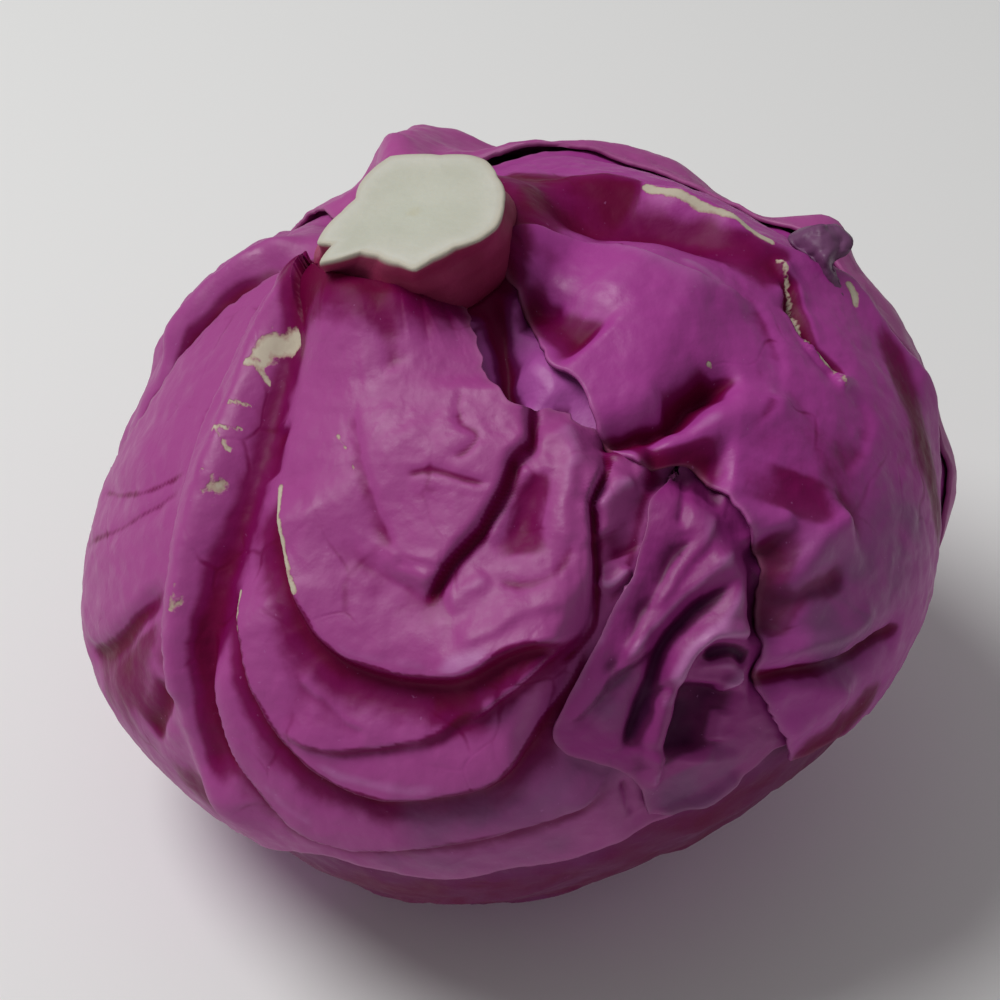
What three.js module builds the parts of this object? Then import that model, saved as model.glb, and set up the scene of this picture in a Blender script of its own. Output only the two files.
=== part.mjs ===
// A red cabbage head, resting on its crown with the cut stalk up.
// Each wrapper leaf is a thin closed sheet laid on the head, from the stalk to its tip.
// Millimetres, +Z up. The origin is the middle of the flat spot that the head rests on.

import * as THREE from 'three';

// Driving dimensions of the head, in millimetres
const HEAD_RADIUS = 80;
const STEM_SIDE = 62;
const CROWN_SIDE = 60;
const FLAT_DEPTH = 3;
const LEAF_THICKNESS = 1.4;

// Between the layers: the gap, how far outside a margin the leaf underneath starts to sink and is
// down, how much wider than a hollow it keeps clear, and the reach in degrees of the leaf bases
const LAYER_GAP = 3;
const PRESS_BAND = 11;
const PRESS_CLEAR = 4.5;
const HOLLOW_CLEARANCE = 1.8;
const BASE_REACH = 11.8;

// The stalk and the core that it goes on into
const CUT_HEIGHT = 76;
const STALK_RADIUS = 15.2;
const CORE_RADIUS = 12;
const CORE_TOP = 44;
const CORE_END = -4;
const SOCKET_CLEARANCE = 0.8;

// How the head leans, and the view that its outlines were traced in
const VIEW_ELEVATION = 40;
const AXIS_TO_VIEW = 52;
const AXIS_LEAN = 18.4;
const VIEW_DISTANCE = 515;
const FOCAL_PIXELS = 2777.8;
const VIEW_CENTRE = 500;
const AIM_RIGHT = -1.67;
const AIM_UP = 4.64;

const radians = THREE.MathUtils.degToRad;
const smooth = THREE.MathUtils.smoothstep;

// Directions of the view: to the right, up, and back towards the eye
const viewRight = new THREE.Vector3(1, 0, 0);
const viewUp = new THREE.Vector3(0, Math.sin(radians(VIEW_ELEVATION)), Math.cos(radians(VIEW_ELEVATION)));
const viewBack = new THREE.Vector3(0, -Math.cos(radians(VIEW_ELEVATION)), Math.sin(radians(VIEW_ELEVATION)));

// The head's own directions: along the stalk, to its front and to its side
const stalkAxis = viewBack.clone().multiplyScalar(Math.cos(radians(AXIS_TO_VIEW)))
  .addScaledVector(viewUp, Math.sin(radians(AXIS_TO_VIEW)) * Math.cos(radians(AXIS_LEAN)))
  .addScaledVector(viewRight, -Math.sin(radians(AXIS_TO_VIEW)) * Math.sin(radians(AXIS_LEAN)));
const headFront = viewBack.clone().addScaledVector(stalkAxis, -viewBack.dot(stalkAxis)).normalize();
const headSide = stalkAxis.clone().cross(headFront);

// The crown leaf's lowest point is over the origin, and FLAT_DEPTH of it is pressed flat
const CROWN_LEVEL = -2.5;
const headCentre = findHeadCentre();

function findHeadCentre() {
  const wide = HEAD_RADIUS + CROWN_LEVEL;
  const deep = CROWN_SIDE + CROWN_LEVEL;
  const lowest = new THREE.Vector3(0, 0, wide * wide)
    .addScaledVector(stalkAxis, (deep * deep - wide * wide) * stalkAxis.z);
  const height = Math.sqrt(lowest.z);
  return lowest.divideScalar(height).add(new THREE.Vector3(0, 0, -FLAT_DEPTH));
}

// A place on the head is a unit vector of front, side and axis parts
function place(reach, bearing) {
  const r = radians(reach);
  const b = radians(bearing);
  return new THREE.Vector3(Math.sin(r) * Math.cos(b), Math.sin(r) * Math.sin(b), Math.cos(r));
}

function fromParts(front, side, axial) {
  return new THREE.Vector3()
    .addScaledVector(headFront, front)
    .addScaledVector(headSide, side)
    .addScaledVector(stalkAxis, axial);
}

function depthAt(q) {
  return q.z > 0 ? STEM_SIDE : CROWN_SIDE;
}

function onHead(q) {
  return fromParts(q.x * HEAD_RADIUS, q.y * HEAD_RADIUS, q.z * depthAt(q)).add(headCentre);
}

function outward(q) {
  return fromParts(q.x / HEAD_RADIUS, q.y / HEAD_RADIUS, q.z / depthAt(q)).normalize();
}

// The line of sight through one point of the traced picture
function sightLine([x, y]) {
  const start = headCentre.clone()
    .addScaledVector(viewRight, AIM_RIGHT)
    .addScaledVector(viewUp, AIM_UP)
    .addScaledVector(viewBack, VIEW_DISTANCE);
  const along = viewBack.clone().negate()
    .addScaledVector(viewRight, (x - VIEW_CENTRE) / FOCAL_PIXELS)
    .addScaledVector(viewUp, (VIEW_CENTRE - y) / FOCAL_PIXELS)
    .normalize();
  return { start, along };
}

// Where that line meets the head, or passes nearest to it
function traced(pixel) {
  const { start, along } = sightLine(pixel);
  const from = start.sub(headCentre);
  let hit;
  for (const deep of [STEM_SIDE, CROWN_SIDE]) {
    const parts = (v) => new THREE.Vector3(
      v.dot(headFront) / HEAD_RADIUS, v.dot(headSide) / HEAD_RADIUS, v.dot(stalkAxis) / deep);
    const o = parts(from);
    const d = parts(along);
    const b = o.dot(d);
    const a = d.dot(d);
    const gap = b * b - a * (o.dot(o) - 1);
    hit = o.addScaledVector(d, (-b - Math.sqrt(Math.max(gap, 0))) / a).normalize();
    if (hit.z > 0) break;
  }
  return hit;
}

const seen = (...pixels) => pixels.map(traced);
const hidden = (...places) => places.map(([reach, bearing]) => place(reach, bearing));

// A fold raises or sinks the head along a line, with its own width on either hand of it
function fold(line, height, left, right = left) {
  const knots = line.map(onHead);
  const lengths = knots.slice(1).map((knot, i) => knot.distanceTo(knots[i]));
  const total = lengths.reduce((sum, length) => sum + length, 0);
  return { knots, lengths, total, height, left, right };
}

const swell = (spot, height, radius) => fold([spot], height, radius);

const FOLD_FADE = 0.18;

// A leaf underneath clears a hollow by more than the hollow's own width
function foldHeight(shape, point, normal, clearance) {
  const spread = shape.height < 0 ? clearance : 1;
  if (shape.knots.length === 1) {
    return shape.height * Math.exp(-((point.distanceTo(shape.knots[0]) / (shape.left * spread)) ** 2));
  }
  let nearest = Infinity;
  let width = shape.left;
  let share = 0;
  let before = 0;
  shape.lengths.forEach((length, i) => {
    const run = shape.knots[i + 1].clone().sub(shape.knots[i]);
    const off = point.clone().sub(shape.knots[i]);
    const t = THREE.MathUtils.clamp(off.dot(run) / (length * length), 0, 1);
    off.addScaledVector(run, -t);
    if (off.length() < nearest) {
      nearest = off.length();
      width = run.cross(off).dot(normal) > 0 ? shape.left : shape.right;
      share = (before + t * length) / shape.total;
    }
    before += length;
  });
  const ends = smooth(share, 0, FOLD_FADE) * smooth(1 - share, 0, FOLD_FADE);
  return shape.height * ends * Math.exp(-((nearest / (width * spread)) ** 2));
}

function sum(shapes, point, normal, clearance) {
  return shapes.reduce((h, shape) => h + foldHeight(shape, point, normal, clearance), 0);
}

// The head is a little uneven all round, and every layer of it follows
const UNEVEN = [
  swell(place(60, -112), -2.5, 22),
  swell(place(60, 112), -2.2, 18),
  swell(place(104, -60), -2.6, 24),
  swell(place(122, 15), -2.2, 34),
  swell(place(84, -86), 1, 18),
];

// A leaf is lofted between its left margin, its midrib and its right margin
function makeLeaf(spec) {
  const rows = spec.rows;
  const spaced = (line) => new THREE.CatmullRomCurve3(line, false, 'centripetal')
    .getSpacedPoints(rows).map((p) => p.normalize());
  const left = spaced(spec.left);
  const middle = spaced(spec.middle);
  const right = spaced(spec.right);
  const tip = spec.tip && new THREE.CatmullRomCurve3(spec.tip, false, 'centripetal')
    .getSpacedPoints(spec.columns);
  const grid = [];
  for (let i = 0; i <= rows; i += 1) {
    const row = [];
    for (let j = 0; j <= spec.columns; j += 1) {
      const v = (2 * j) / spec.columns - 1;
      const waved = v * (1 + spec.wave * v ** MARGIN_HOLD * Math.sin(WAVES * (i / rows) + 2 * v));
      const q = across(left[i], middle[i], right[i], waved);
      if (i > 0) {
        const curl = TIP_WAVE * (i / rows) ** TIP_PULL * Math.cos(WAVES * v);
        q.addScaledVector(q.clone().sub(grid[i - 1][j]), spec.wave * curl);
      }
      if (tip) {
        const end = across(left[rows], middle[rows], right[rows], v);
        q.addScaledVector(tip[j].clone().sub(end), (i / rows) ** TIP_PULL);
      }
      row.push(clearOfStalk(q.normalize()));
    }
    grid.push(row);
  }
  const outline = [
    ...grid.map((row) => row[0]),
    ...grid[rows].slice(1, -1),
    ...grid.map((row) => row[spec.columns]).reverse(),
    ...grid[0].slice(1, -1).reverse(),
  ];
  const centre = outline.reduce((total, q) => total.add(q), new THREE.Vector3())
    .add(middle[Math.round(rows / 2)].clone().multiplyScalar(outline.length)).normalize();
  const east = new THREE.Vector3(...SKEWED).cross(centre).normalize();
  const north = centre.clone().cross(east);
  const flat = (q) => {
    const scale = (HEAD_RADIUS + STEM_SIDE) / (1 + q.dot(centre));
    return [q.dot(east) * scale, q.dot(north) * scale];
  };
  return { ...spec, grid, flat, centre, outline: outline.map(flat) };
}

// Any direction that no leaf's middle points in
const SKEWED = [0.31, 0.52, 0.8];

// How fast a leaf takes the shape of its tip, and the waves of its margins
const TIP_PULL = 5;
const WAVES = 26;
const TIP_WAVE = 14;
const MARGIN_HOLD = 4;

function across(left, middle, right, v) {
  return new THREE.Vector3()
    .addScaledVector(left, (v * (v - 1)) / 2)
    .addScaledVector(middle, 1 - v * v)
    .addScaledVector(right, (v * (v + 1)) / 2);
}

function clearOfStalk(q) {
  const reach = Math.acos(q.z);
  if (reach >= radians(BASE_REACH)) return q;
  const grow = Math.sin(radians(BASE_REACH)) / Math.hypot(q.x, q.y);
  return new THREE.Vector3(q.x * grow, q.y * grow, Math.cos(radians(BASE_REACH)));
}

// How far a place is inside a leaf's margin, in millimetres, and less than 0 outside it
function insideMargin(leaf, q) {
  const [x, y] = leaf.flat(q);
  let nearest = Infinity;
  let within = false;
  leaf.outline.forEach(([x1, y1], i) => {
    const [x2, y2] = leaf.outline[(i + 1) % leaf.outline.length];
    const dx = x2 - x1;
    const dy = y2 - y1;
    const t = THREE.MathUtils.clamp(((x - x1) * dx + (y - y1) * dy) / (dx * dx + dy * dy), 0, 1);
    nearest = Math.min(nearest, Math.hypot(x - x1 - t * dx, y - y1 - t * dy));
    if ((y1 > y) !== (y2 > y) && x < x1 + ((y - y1) / dy) * dx) within = !within;
  });
  const flattened = (1 + q.dot(leaf.centre)) / 2;
  return (within ? nearest : -nearest) * flattened;
}

// A leaf's two faces, as heights over the head. A lower leaf is pressed under each upper one.
function pressed(leaf, q, height) {
  return leaf.under.reduce((h, upper) => {
    const cover = smooth(insideMargin(upper, q), -PRESS_BAND, -PRESS_CLEAR);
    if (cover === 0) return h;
    return Math.min(h, h + (faces(upper, q, HOLLOW_CLEARANCE).inner - LAYER_GAP - h) * cover);
  }, height);
}

function faces(leaf, q, clearance = 1) {
  const point = onHead(q);
  const normal = outward(q);
  const bent = leaf.level + sum(UNEVEN, point, normal, 1) + sum(leaf.bends, point, normal, clearance);
  const outer = pressed(leaf, q, bent + sum(leaf.ribs, point, normal, 1));
  return { outer, inner: Math.min(bent, outer) - LEAF_THICKNESS };
}

// Below the flat spot each layer is as flat as the one outside it
function settled(q, height) {
  const p = onHead(q).addScaledVector(outward(q), height);
  p.z = Math.max(p.z, CROWN_LEVEL - height);
  return p;
}

function solid(name, points, triangles, material) {
  const geometry = new THREE.BufferGeometry().setFromPoints(points);
  geometry.setIndex(triangles);
  if (volumeOf(points, triangles) < 0) geometry.setIndex(triangles.slice().reverse());
  geometry.computeVertexNormals();
  const mesh = new THREE.Mesh(geometry, material);
  mesh.name = name;
  return mesh;
}

function volumeOf(points, triangles) {
  let volume = 0;
  for (let i = 0; i < triangles.length; i += 3) {
    const [a, b, c] = [points[triangles[i]], points[triangles[i + 1]], points[triangles[i + 2]]];
    volume += a.dot(b.clone().cross(c));
  }
  return volume;
}

function leafSolid(leaf) {
  const wide = leaf.columns + 1;
  const tall = leaf.rows + 1;
  const places = leaf.grid.flat();
  const levels = places.map((q) => faces(leaf, q));
  const count = places.length;
  const points = [
    ...places.map((q, i) => settled(q, levels[i].outer)),
    ...places.map((q, i) => settled(q, levels[i].inner)),
  ];
  const triangles = [];
  for (let i = 0; i < leaf.rows; i += 1) {
    for (let j = 0; j < leaf.columns; j += 1) {
      const a = i * wide + j;
      const b = a + 1;
      const c = a + wide;
      const d = c + 1;
      triangles.push(a, b, d, a, d, c);
      triangles.push(count + a, count + d, count + b, count + a, count + c, count + d);
    }
  }
  const edge = [];
  for (let j = 0; j < leaf.columns; j += 1) edge.push(j);
  for (let i = 0; i < leaf.rows; i += 1) edge.push(i * wide + leaf.columns);
  for (let j = leaf.columns; j > 0; j -= 1) edge.push((tall - 1) * wide + j);
  for (let i = leaf.rows; i > 0; i -= 1) edge.push(i * wide);
  edge.forEach((a, i) => {
    const b = edge[(i + 1) % edge.length];
    triangles.push(a, count + a, b, b, count + a, count + b);
  });
  return solid(leaf.name, points, triangles, leafMaterial(leaf.colour));
}

function leafMaterial(colour) {
  return new THREE.MeshStandardMaterial({ color: colour, roughness: 0.45, metalness: 0 });
}

// A round solid made of rings of points, closed by a point at either end
function ringSolid(name, first, rings, last, material) {
  const around = rings[0].length;
  const points = [first, ...rings.flat(), last];
  const triangles = [];
  for (let j = 0; j < around; j += 1) {
    const k = (j + 1) % around;
    triangles.push(0, 1 + j, 1 + k);
    for (let i = 0; i < rings.length - 1; i += 1) {
      const a = 1 + i * around;
      const b = a + around;
      triangles.push(a + j, b + j, b + k, a + j, b + k, a + k);
    }
    const end = 1 + (rings.length - 1) * around;
    triangles.push(end + j, points.length - 1, end + k);
  }
  return solid(name, points, triangles, material);
}

// The right leaf, with its crest behind the stalk and its big pillow. The back leaf lies on it.
const CREST = seen([505, 187], [530, 184], [555, 180], [588, 178], [621, 182], [646, 186], [687, 201],
  [712, 213], [739, 231], [778, 247]);
const RIGHT_MARGIN = seen([499, 262], [506, 282], [519, 292], [543, 340], [551, 363], [566, 376],
  [577, 386], [589, 409], [607, 436], [650, 462], [690, 462], [714, 484], [751, 531], [770, 560],
  [770, 620], [762, 673], [775, 710], [795, 765]);
const CREST_HOLLOW = seen([520, 235], [600, 226], [680, 240], [750, 275]);
const BIG_PILLOW = seen([560, 262], [620, 300], [690, 340], [740, 350]);
const PILLOW_LAP = seen([514, 300], [555, 320], [596, 350]);
const DEEP_CREASE = seen([609, 438], [633, 431], [666, 423], [693, 408], [729, 382], [750, 370]);
const CREASE_BULGE = seen([640, 452], [704, 437], [742, 417], [800, 400]);
const UNDER_BULGE = seen([640, 462], [690, 465], [735, 478]);
const FLANK_PIT = seen([760, 530], [775, 565], [772, 600], [766, 650]);
const FLANK_RIDGE = seen([775, 600], [810, 545], [850, 510]);
const LOW_CREASE = seen([760, 690], [820, 675], [880, 650]);
const SHOULDER_HOLLOW = seen([785, 290], [812, 335], [850, 385]);

// The front leaf: its midrib, its side veins, its toothed margin and the folds of its lower half
const MIDRIB = seen([352, 270], [300, 325], [255, 385], [222, 440], [200, 510], [185, 580], [180, 650],
  [195, 720], [225, 790]);
const FIRST_VEIN = seen([272, 480], [280, 528], [290, 576], [302, 608], [321, 639], [347, 659],
  [379, 671], [427, 678], [468, 675], [490, 660], [520, 640], [550, 634], [576, 626], [588, 615]);
const SECOND_VEIN = seen([227, 570], [241, 640], [257, 693], [291, 747], [330, 779], [379, 797],
  [446, 793], [489, 783], [526, 750], [553, 723], [573, 690], [598, 640], [615, 598], [640, 563]);
const THIRD_VEIN = seen([199, 631], [211, 693], [232, 756], [270, 808], [301, 836], [346, 851],
  [396, 850], [460, 844], [526, 827], [576, 812], [598, 802], [631, 776]);
const TOOTHED_MARGIN = seen([428, 273], [445, 288], [466, 311], [475, 333], [485, 366], [483, 378],
  [500, 399], [521, 416]);
const FLAP_EDGE = seen([524, 434], [523, 446], [509, 472], [503, 489], [483, 519], [453, 551],
  [427, 586]);
const CRUMPLED_EDGE = seen([592, 427], [599, 442], [594, 480], [589, 530], [590, 580], [588, 606],
  [576, 639], [549, 662], [516, 689], [486, 709]);
const LOWER_EDGE = seen([330, 858], [379, 872], [446, 880], [526, 869], [584, 859], [647, 837],
  [700, 815]);
const FRONT_MIDDLE = seen([345, 330], [320, 400], [300, 480], [290, 560], [290, 640], [300, 720],
  [320, 800], [340, 858]);
const LOWER_MARGIN = seen([557, 408], [592, 427], [640, 470], [662, 520], [672, 600], [684, 700],
  [692, 770], [700, 815]);
const RIB_GROOVE = seen([347, 298], [315, 335], [277, 403], [251, 467], [239, 530], [238, 600]);
const FLAP_PILLOW = seen([420, 300], [400, 380], [385, 470], [380, 560]);
const FOLD_HOLLOW = seen([540, 450], [548, 500], [560, 550]);
const SECOND_LOBE = seen([600, 490], [620, 530], [625, 575]);
const LOW_LEFT_VEIN = seen([80, 651], [125, 631], [170, 580]);
const TOP_LEFT_VEIN = seen([95, 492], [156, 486], [197, 463]);

// The torn leaf: its ragged left margin from its tip down, its middle and its folds
const TORN_MARGIN = seen([688, 456], [659, 489], [650, 501], [647, 526], [638, 557], [626, 590],
  [628, 640], [634, 700], [642, 760], [650, 800], [655, 845]);
const TORN_MIDDLE = seen([722, 540], [716, 620], [712, 700], [716, 790]);
const TORN_SPINE = seen([690, 470], [714, 500], [745, 545], [750, 580], [752, 640], [745, 680]);
const FIRST_FOLD = seen([704, 571], [676, 601], [653, 626]);
const TORN_FURROW = seen([734, 575], [701, 608], [666, 646], [653, 676]);
const POCKET_RIM = seen([740, 626], [699, 633], [683, 666], [668, 714], [651, 756]);
const POCKET = seen([715, 680], [705, 720], [690, 765]);

// The valley leaf: its groove, its two swells and its bed under the right leaf
const VALLEY_GROOVE = seen([462, 262], [483, 293], [500, 335], [506, 376], [520, 410]);
const VALLEY_SWELL = traced([548, 368]);
const VALLEY_DIP = traced([548, 420]);
const PRESSED_BED = seen([600, 445], [650, 470], [700, 460], [760, 500], [772, 600]);

const back = makeLeaf({
  name: 'leaf_back',
  colour: 0x74325f,
  rows: 16,
  columns: 16,
  wave: 0.03,
  level: 0,
  under: [],
  left: hidden([11.8, -155], [30, -163], [50, -160], [70, -164], [90, -170], [108, -176], [126, 176]),
  middle: hidden([11.8, 172], [30, 166], [50, 158], [70, 151], [90, 146], [110, 142], [132, 138]),
  right: hidden([11.8, 150], [25, 150], [36, 143], [43, 128], [50, 113], [58, 104], [65, 98], [73, 91],
    [82, 88], [92, 84], [99, 77], [107, 71], [115, 84], [125, 102]),
  bends: [
    fold(hidden([16, 178], [30, 174], [40, 170], [50, 166]), 5.5, 10, 8),
    fold(hidden([16, 158], [28, 150], [38, 142], [50, 132], [60, 122]), 2.5, 6),
    fold(hidden([58, 108], [70, 96], [82, 92], [92, 88], [100, 82], [108, 78]), 2.2, 9),
    swell(place(64, 104), 5.5, 7),
    swell(place(99, 76), 2, 7),
  ],
  ribs: [fold(hidden([14, -176], [40, 176], [70, 168], [100, 160]), 2.5, 5)],
});

const right = makeLeaf({
  name: 'leaf_right',
  colour: 0x8a3a72,
  rows: 20,
  columns: 22,
  wave: 0.008,
  level: 0,
  under: [back],
  left: RIGHT_MARGIN,
  middle: hidden([11.8, 112], [20, 104], [34, 92], [50, 82], [66, 74], [84, 68], [102, 64], [120, 62]),
  right: hidden([11.8, 158], [25, 150], [40, 138], [56, 126], [72, 118], [88, 112], [104, 106],
    [121, 98]),
  bends: [
    fold(CREST_HOLLOW, -3.6, 6, 7),
    fold(BIG_PILLOW, 3.6, 16),
    fold(PILLOW_LAP, -3.2, 6),
    fold(DEEP_CREASE, -5.5, 4),
    fold(CREASE_BULGE, 2.5, 5),
    fold(UNDER_BULGE, -4, 6),
    fold(FLANK_PIT, -4.5, 6),
    fold(FLANK_RIDGE, 2, 6),
    fold(LOW_CREASE, -2, 5),
    fold(SHOULDER_HOLLOW, -1.6, 4),
  ],
  ribs: [fold([...CREST, ...hidden([62, 86], [78, 80], [94, 76])], 4.2, 5, 6)],
});

const torn = makeLeaf({
  name: 'leaf_torn',
  colour: 0x6b2c60,
  rows: 18,
  columns: 12,
  wave: 0.02,
  level: -0.6,
  under: [right, back],
  left: [...hidden([11.8, 72], [26, 56], [38, 44]), ...TORN_MARGIN],
  middle: [...hidden([11.8, 92], [28, 76], [45, 55]), ...TORN_MIDDLE],
  right: hidden([11.8, 112], [28, 98], [45, 84], [62, 76], [80, 74], [98, 70], [113, 62]),
  bends: [
    fold(TORN_SPINE, 2.6, 4, 9),
    fold(FIRST_FOLD, 2.2, 5),
    fold(TORN_FURROW, -2.6, 4.5),
    fold(POCKET_RIM, 2.6, 4.5),
    fold(POCKET, -4.5, 8),
  ],
  ribs: [],
});

const front = makeLeaf({
  name: 'leaf_front',
  colour: 0x934a80,
  rows: 22,
  columns: 24,
  wave: 0.004,
  level: 0,
  under: [torn, right],
  left: [...hidden([11.8, -142], [19, -136], [26, -119], [35, -110], [47, -100], [60, -104], [76, -112],
    [92, -116], [104, -106])],
  middle: [...hidden([11.8, -82]), ...FRONT_MIDDLE],
  right: [...TOOTHED_MARGIN, ...LOWER_MARGIN],
  tip: [...hidden([104, -106], [106, -88], [106, -66]), ...LOWER_EDGE],
  bends: [
    fold(RIB_GROOVE, -4, 5),
    fold(FLAP_PILLOW, 3.6, 18),
    fold(FIRST_VEIN, 2.8, 12, 3.5),
    fold(SECOND_VEIN, 2.6, 11, 3.5),
    fold(THIRD_VEIN, 1.8, 9, 3.5),
    fold(FLAP_EDGE, 2.4, 3, 12),
    fold(CRUMPLED_EDGE, 2.6, 3, 10),
    fold(FOLD_HOLLOW, -2, 4.5),
    fold(SECOND_LOBE, 1.6, 5),
    fold(LOW_LEFT_VEIN, -1.6, 5),
    fold(TOP_LEFT_VEIN, -1, 4),
    swell(place(11, -60), 7, 13),
  ],
  ribs: [fold([...hidden([12, -78]), ...MIDRIB, ...hidden([97, -46])], 3.6, 6, 4)],
});

const backLeft = makeLeaf({
  name: 'leaf_back_left',
  colour: 0x85406f,
  rows: 14,
  columns: 12,
  wave: 0.03,
  level: -0.8,
  under: [front, back],
  left: hidden([11.8, 172], [30, -178], [50, -176], [70, -176], [90, 178], [110, 172], [128, 170]),
  middle: hidden([11.8, -136], [30, -134], [50, -130], [70, -128], [90, -128], [112, -132], [132, -138]),
  right: hidden([11.8, -98], [25, -98], [42, -88], [60, -88], [80, -88], [100, -88], [122, -98]),
  bends: [
    fold(hidden([24, -130], [33, -124], [42, -118], [52, -113]), 3, 7, 5),
    fold(hidden([24, -118], [33, -110], [42, -105]), -2.5, 5),
  ],
  ribs: [fold(hidden([14, -140], [40, -136], [70, -132], [100, -134]), 3, 5)],
});

const valley = makeLeaf({
  name: 'leaf_valley',
  colour: 0x8f4488,
  rows: 26,
  columns: 18,
  wave: 0.03,
  level: CROWN_LEVEL,
  under: [front, right, torn, backLeft, back],
  left: hidden([11.8, -24], [35, -34], [60, -44], [90, -52], [115, -66], [130, -92], [133, -128]),
  middle: hidden([11.8, 18], [60, 8], [120, 2], [180, 0], [224, 0]),
  right: hidden([11.8, 62], [35, 52], [60, 54], [90, 58], [115, 68], [130, 92], [133, 128]),
  bends: [
    fold(VALLEY_GROOVE, -2.8, 6),
    swell(VALLEY_SWELL, 1, 6),
    swell(VALLEY_DIP, -2.6, 10),
    fold(PRESSED_BED, -4, 12),
  ],
  ribs: [],
});

// Three more leaves lie under those, each a third of the way round
const INNER_LEVEL = -15.4;
const INNER_HALF_WIDTH = 57;

function innerLeaf(name, bearing, above) {
  const margin = (side) => hidden([11.8, bearing + 24 * side], [30, bearing + 46 * side],
    [60, bearing + INNER_HALF_WIDTH * side], [90, bearing + INNER_HALF_WIDTH * side],
    [115, bearing + 50 * side], [132, bearing + 36 * side]);
  return makeLeaf({
    name,
    colour: 0x7d3f78,
    rows: 14,
    columns: 12,
    wave: 0.03,
    level: INNER_LEVEL,
    under: above,
    left: margin(-1),
    middle: hidden([11.8, bearing], [60, bearing], [138, bearing]),
    right: margin(1),
    bends: [],
    ribs: [fold(hidden([14, bearing], [60, bearing], [110, bearing]), 1.6, 4)],
  });
}

const outerLeaves = [back, right, torn, front, backLeft, valley];
const innerLeft = innerLeaf('leaf_inner_left', -80, outerLeaves);
const innerRight = innerLeaf('leaf_inner_right', 40, outerLeaves);
const innerBack = innerLeaf('leaf_inner_back', 160, outerLeaves);
const leaves = [...outerLeaves, innerLeft, innerRight, innerBack];

// The heart: young leaves packed so tightly that they are one body, each edge a spiral step on it
const HEART_LEVEL = -18.2;
const HEART_RINGS = 16;
const HEART_AROUND = 28;
const HEART_STEPS = 3;
const STEP_HEIGHT = 1.8;

function heartLevel(q) {
  const reach = Math.acos(THREE.MathUtils.clamp(q.z, -1, 1)) / Math.PI;
  const turn = Math.atan2(q.y, q.x) / (2 * Math.PI);
  const step = THREE.MathUtils.euclideanModulo(turn * HEART_STEPS + reach * 2, 1);
  return HEART_LEVEL - STEP_HEIGHT * step * Math.sin(Math.PI * reach);
}

function coreRadius(height) {
  const share = THREE.MathUtils.clamp((height - CORE_END) / (CORE_TOP - CORE_END), 0, 1);
  return CORE_RADIUS * Math.sqrt(share);
}

function circle(radius, height, count) {
  return Array.from({ length: count }, (_, j) => {
    const turn = (2 * Math.PI * j) / count;
    return fromParts(radius * Math.cos(turn), radius * Math.sin(turn), height).add(headCentre);
  });
}

function makeHeart() {
  const allLeaves = { under: leaves };
  const rings = [];
  const socketHeights = [0.02, 0.12, 0.3, 0.55, 0.8];
  for (const share of socketHeights) {
    const height = CORE_END + share * (CORE_TOP - CORE_END);
    rings.push(circle(coreRadius(height) + SOCKET_CLEARANCE, height - SOCKET_CLEARANCE, HEART_AROUND));
  }
  const mouth = Math.asin((CORE_RADIUS + 2 * SOCKET_CLEARANCE) / (HEAD_RADIUS + HEART_LEVEL));
  for (let i = 0; i < HEART_RINGS; i += 1) {
    const reach = THREE.MathUtils.radToDeg(mouth + ((Math.PI - mouth) * i) / HEART_RINGS);
    rings.push(Array.from({ length: HEART_AROUND }, (_, j) => {
      const q = place(reach, (360 * j) / HEART_AROUND);
      return settled(q, pressed(allLeaves, q, heartLevel(q)));
    }));
  }
  const floor = fromParts(0, 0, CORE_END - 2 * SOCKET_CLEARANCE).add(headCentre);
  const crown = settled(place(180, 0), pressed(allLeaves, place(180, 0), HEART_LEVEL));
  const material = new THREE.MeshStandardMaterial({ color: 0xa680a8, roughness: 0.6, metalness: 0 });
  return ringSolid('heart', floor, rings, crown, material);
}

// The stalk: its cut face as traced, its wall down to the leaf bases, and the core inside the heart
const CUT_EDGE = [[390, 155], [415, 153], [440, 154], [471, 154], [486, 159], [497, 175], [504, 201],
  [502, 213], [496, 226], [480, 238], [455, 246], [432, 258], [414, 269], [400, 263], [377, 254],
  [360, 251], [333, 243], [318, 262], [316, 242], [340, 212], [355, 198], [359, 183], [378, 163]];
const CUT_ROUNDING = 0.7;

function onCut(pixel) {
  const { start, along } = sightLine(pixel);
  const from = start.clone().sub(headCentre);
  const run = (CUT_HEIGHT - from.dot(stalkAxis)) / along.dot(stalkAxis);
  return start.addScaledVector(along, run);
}

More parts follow.
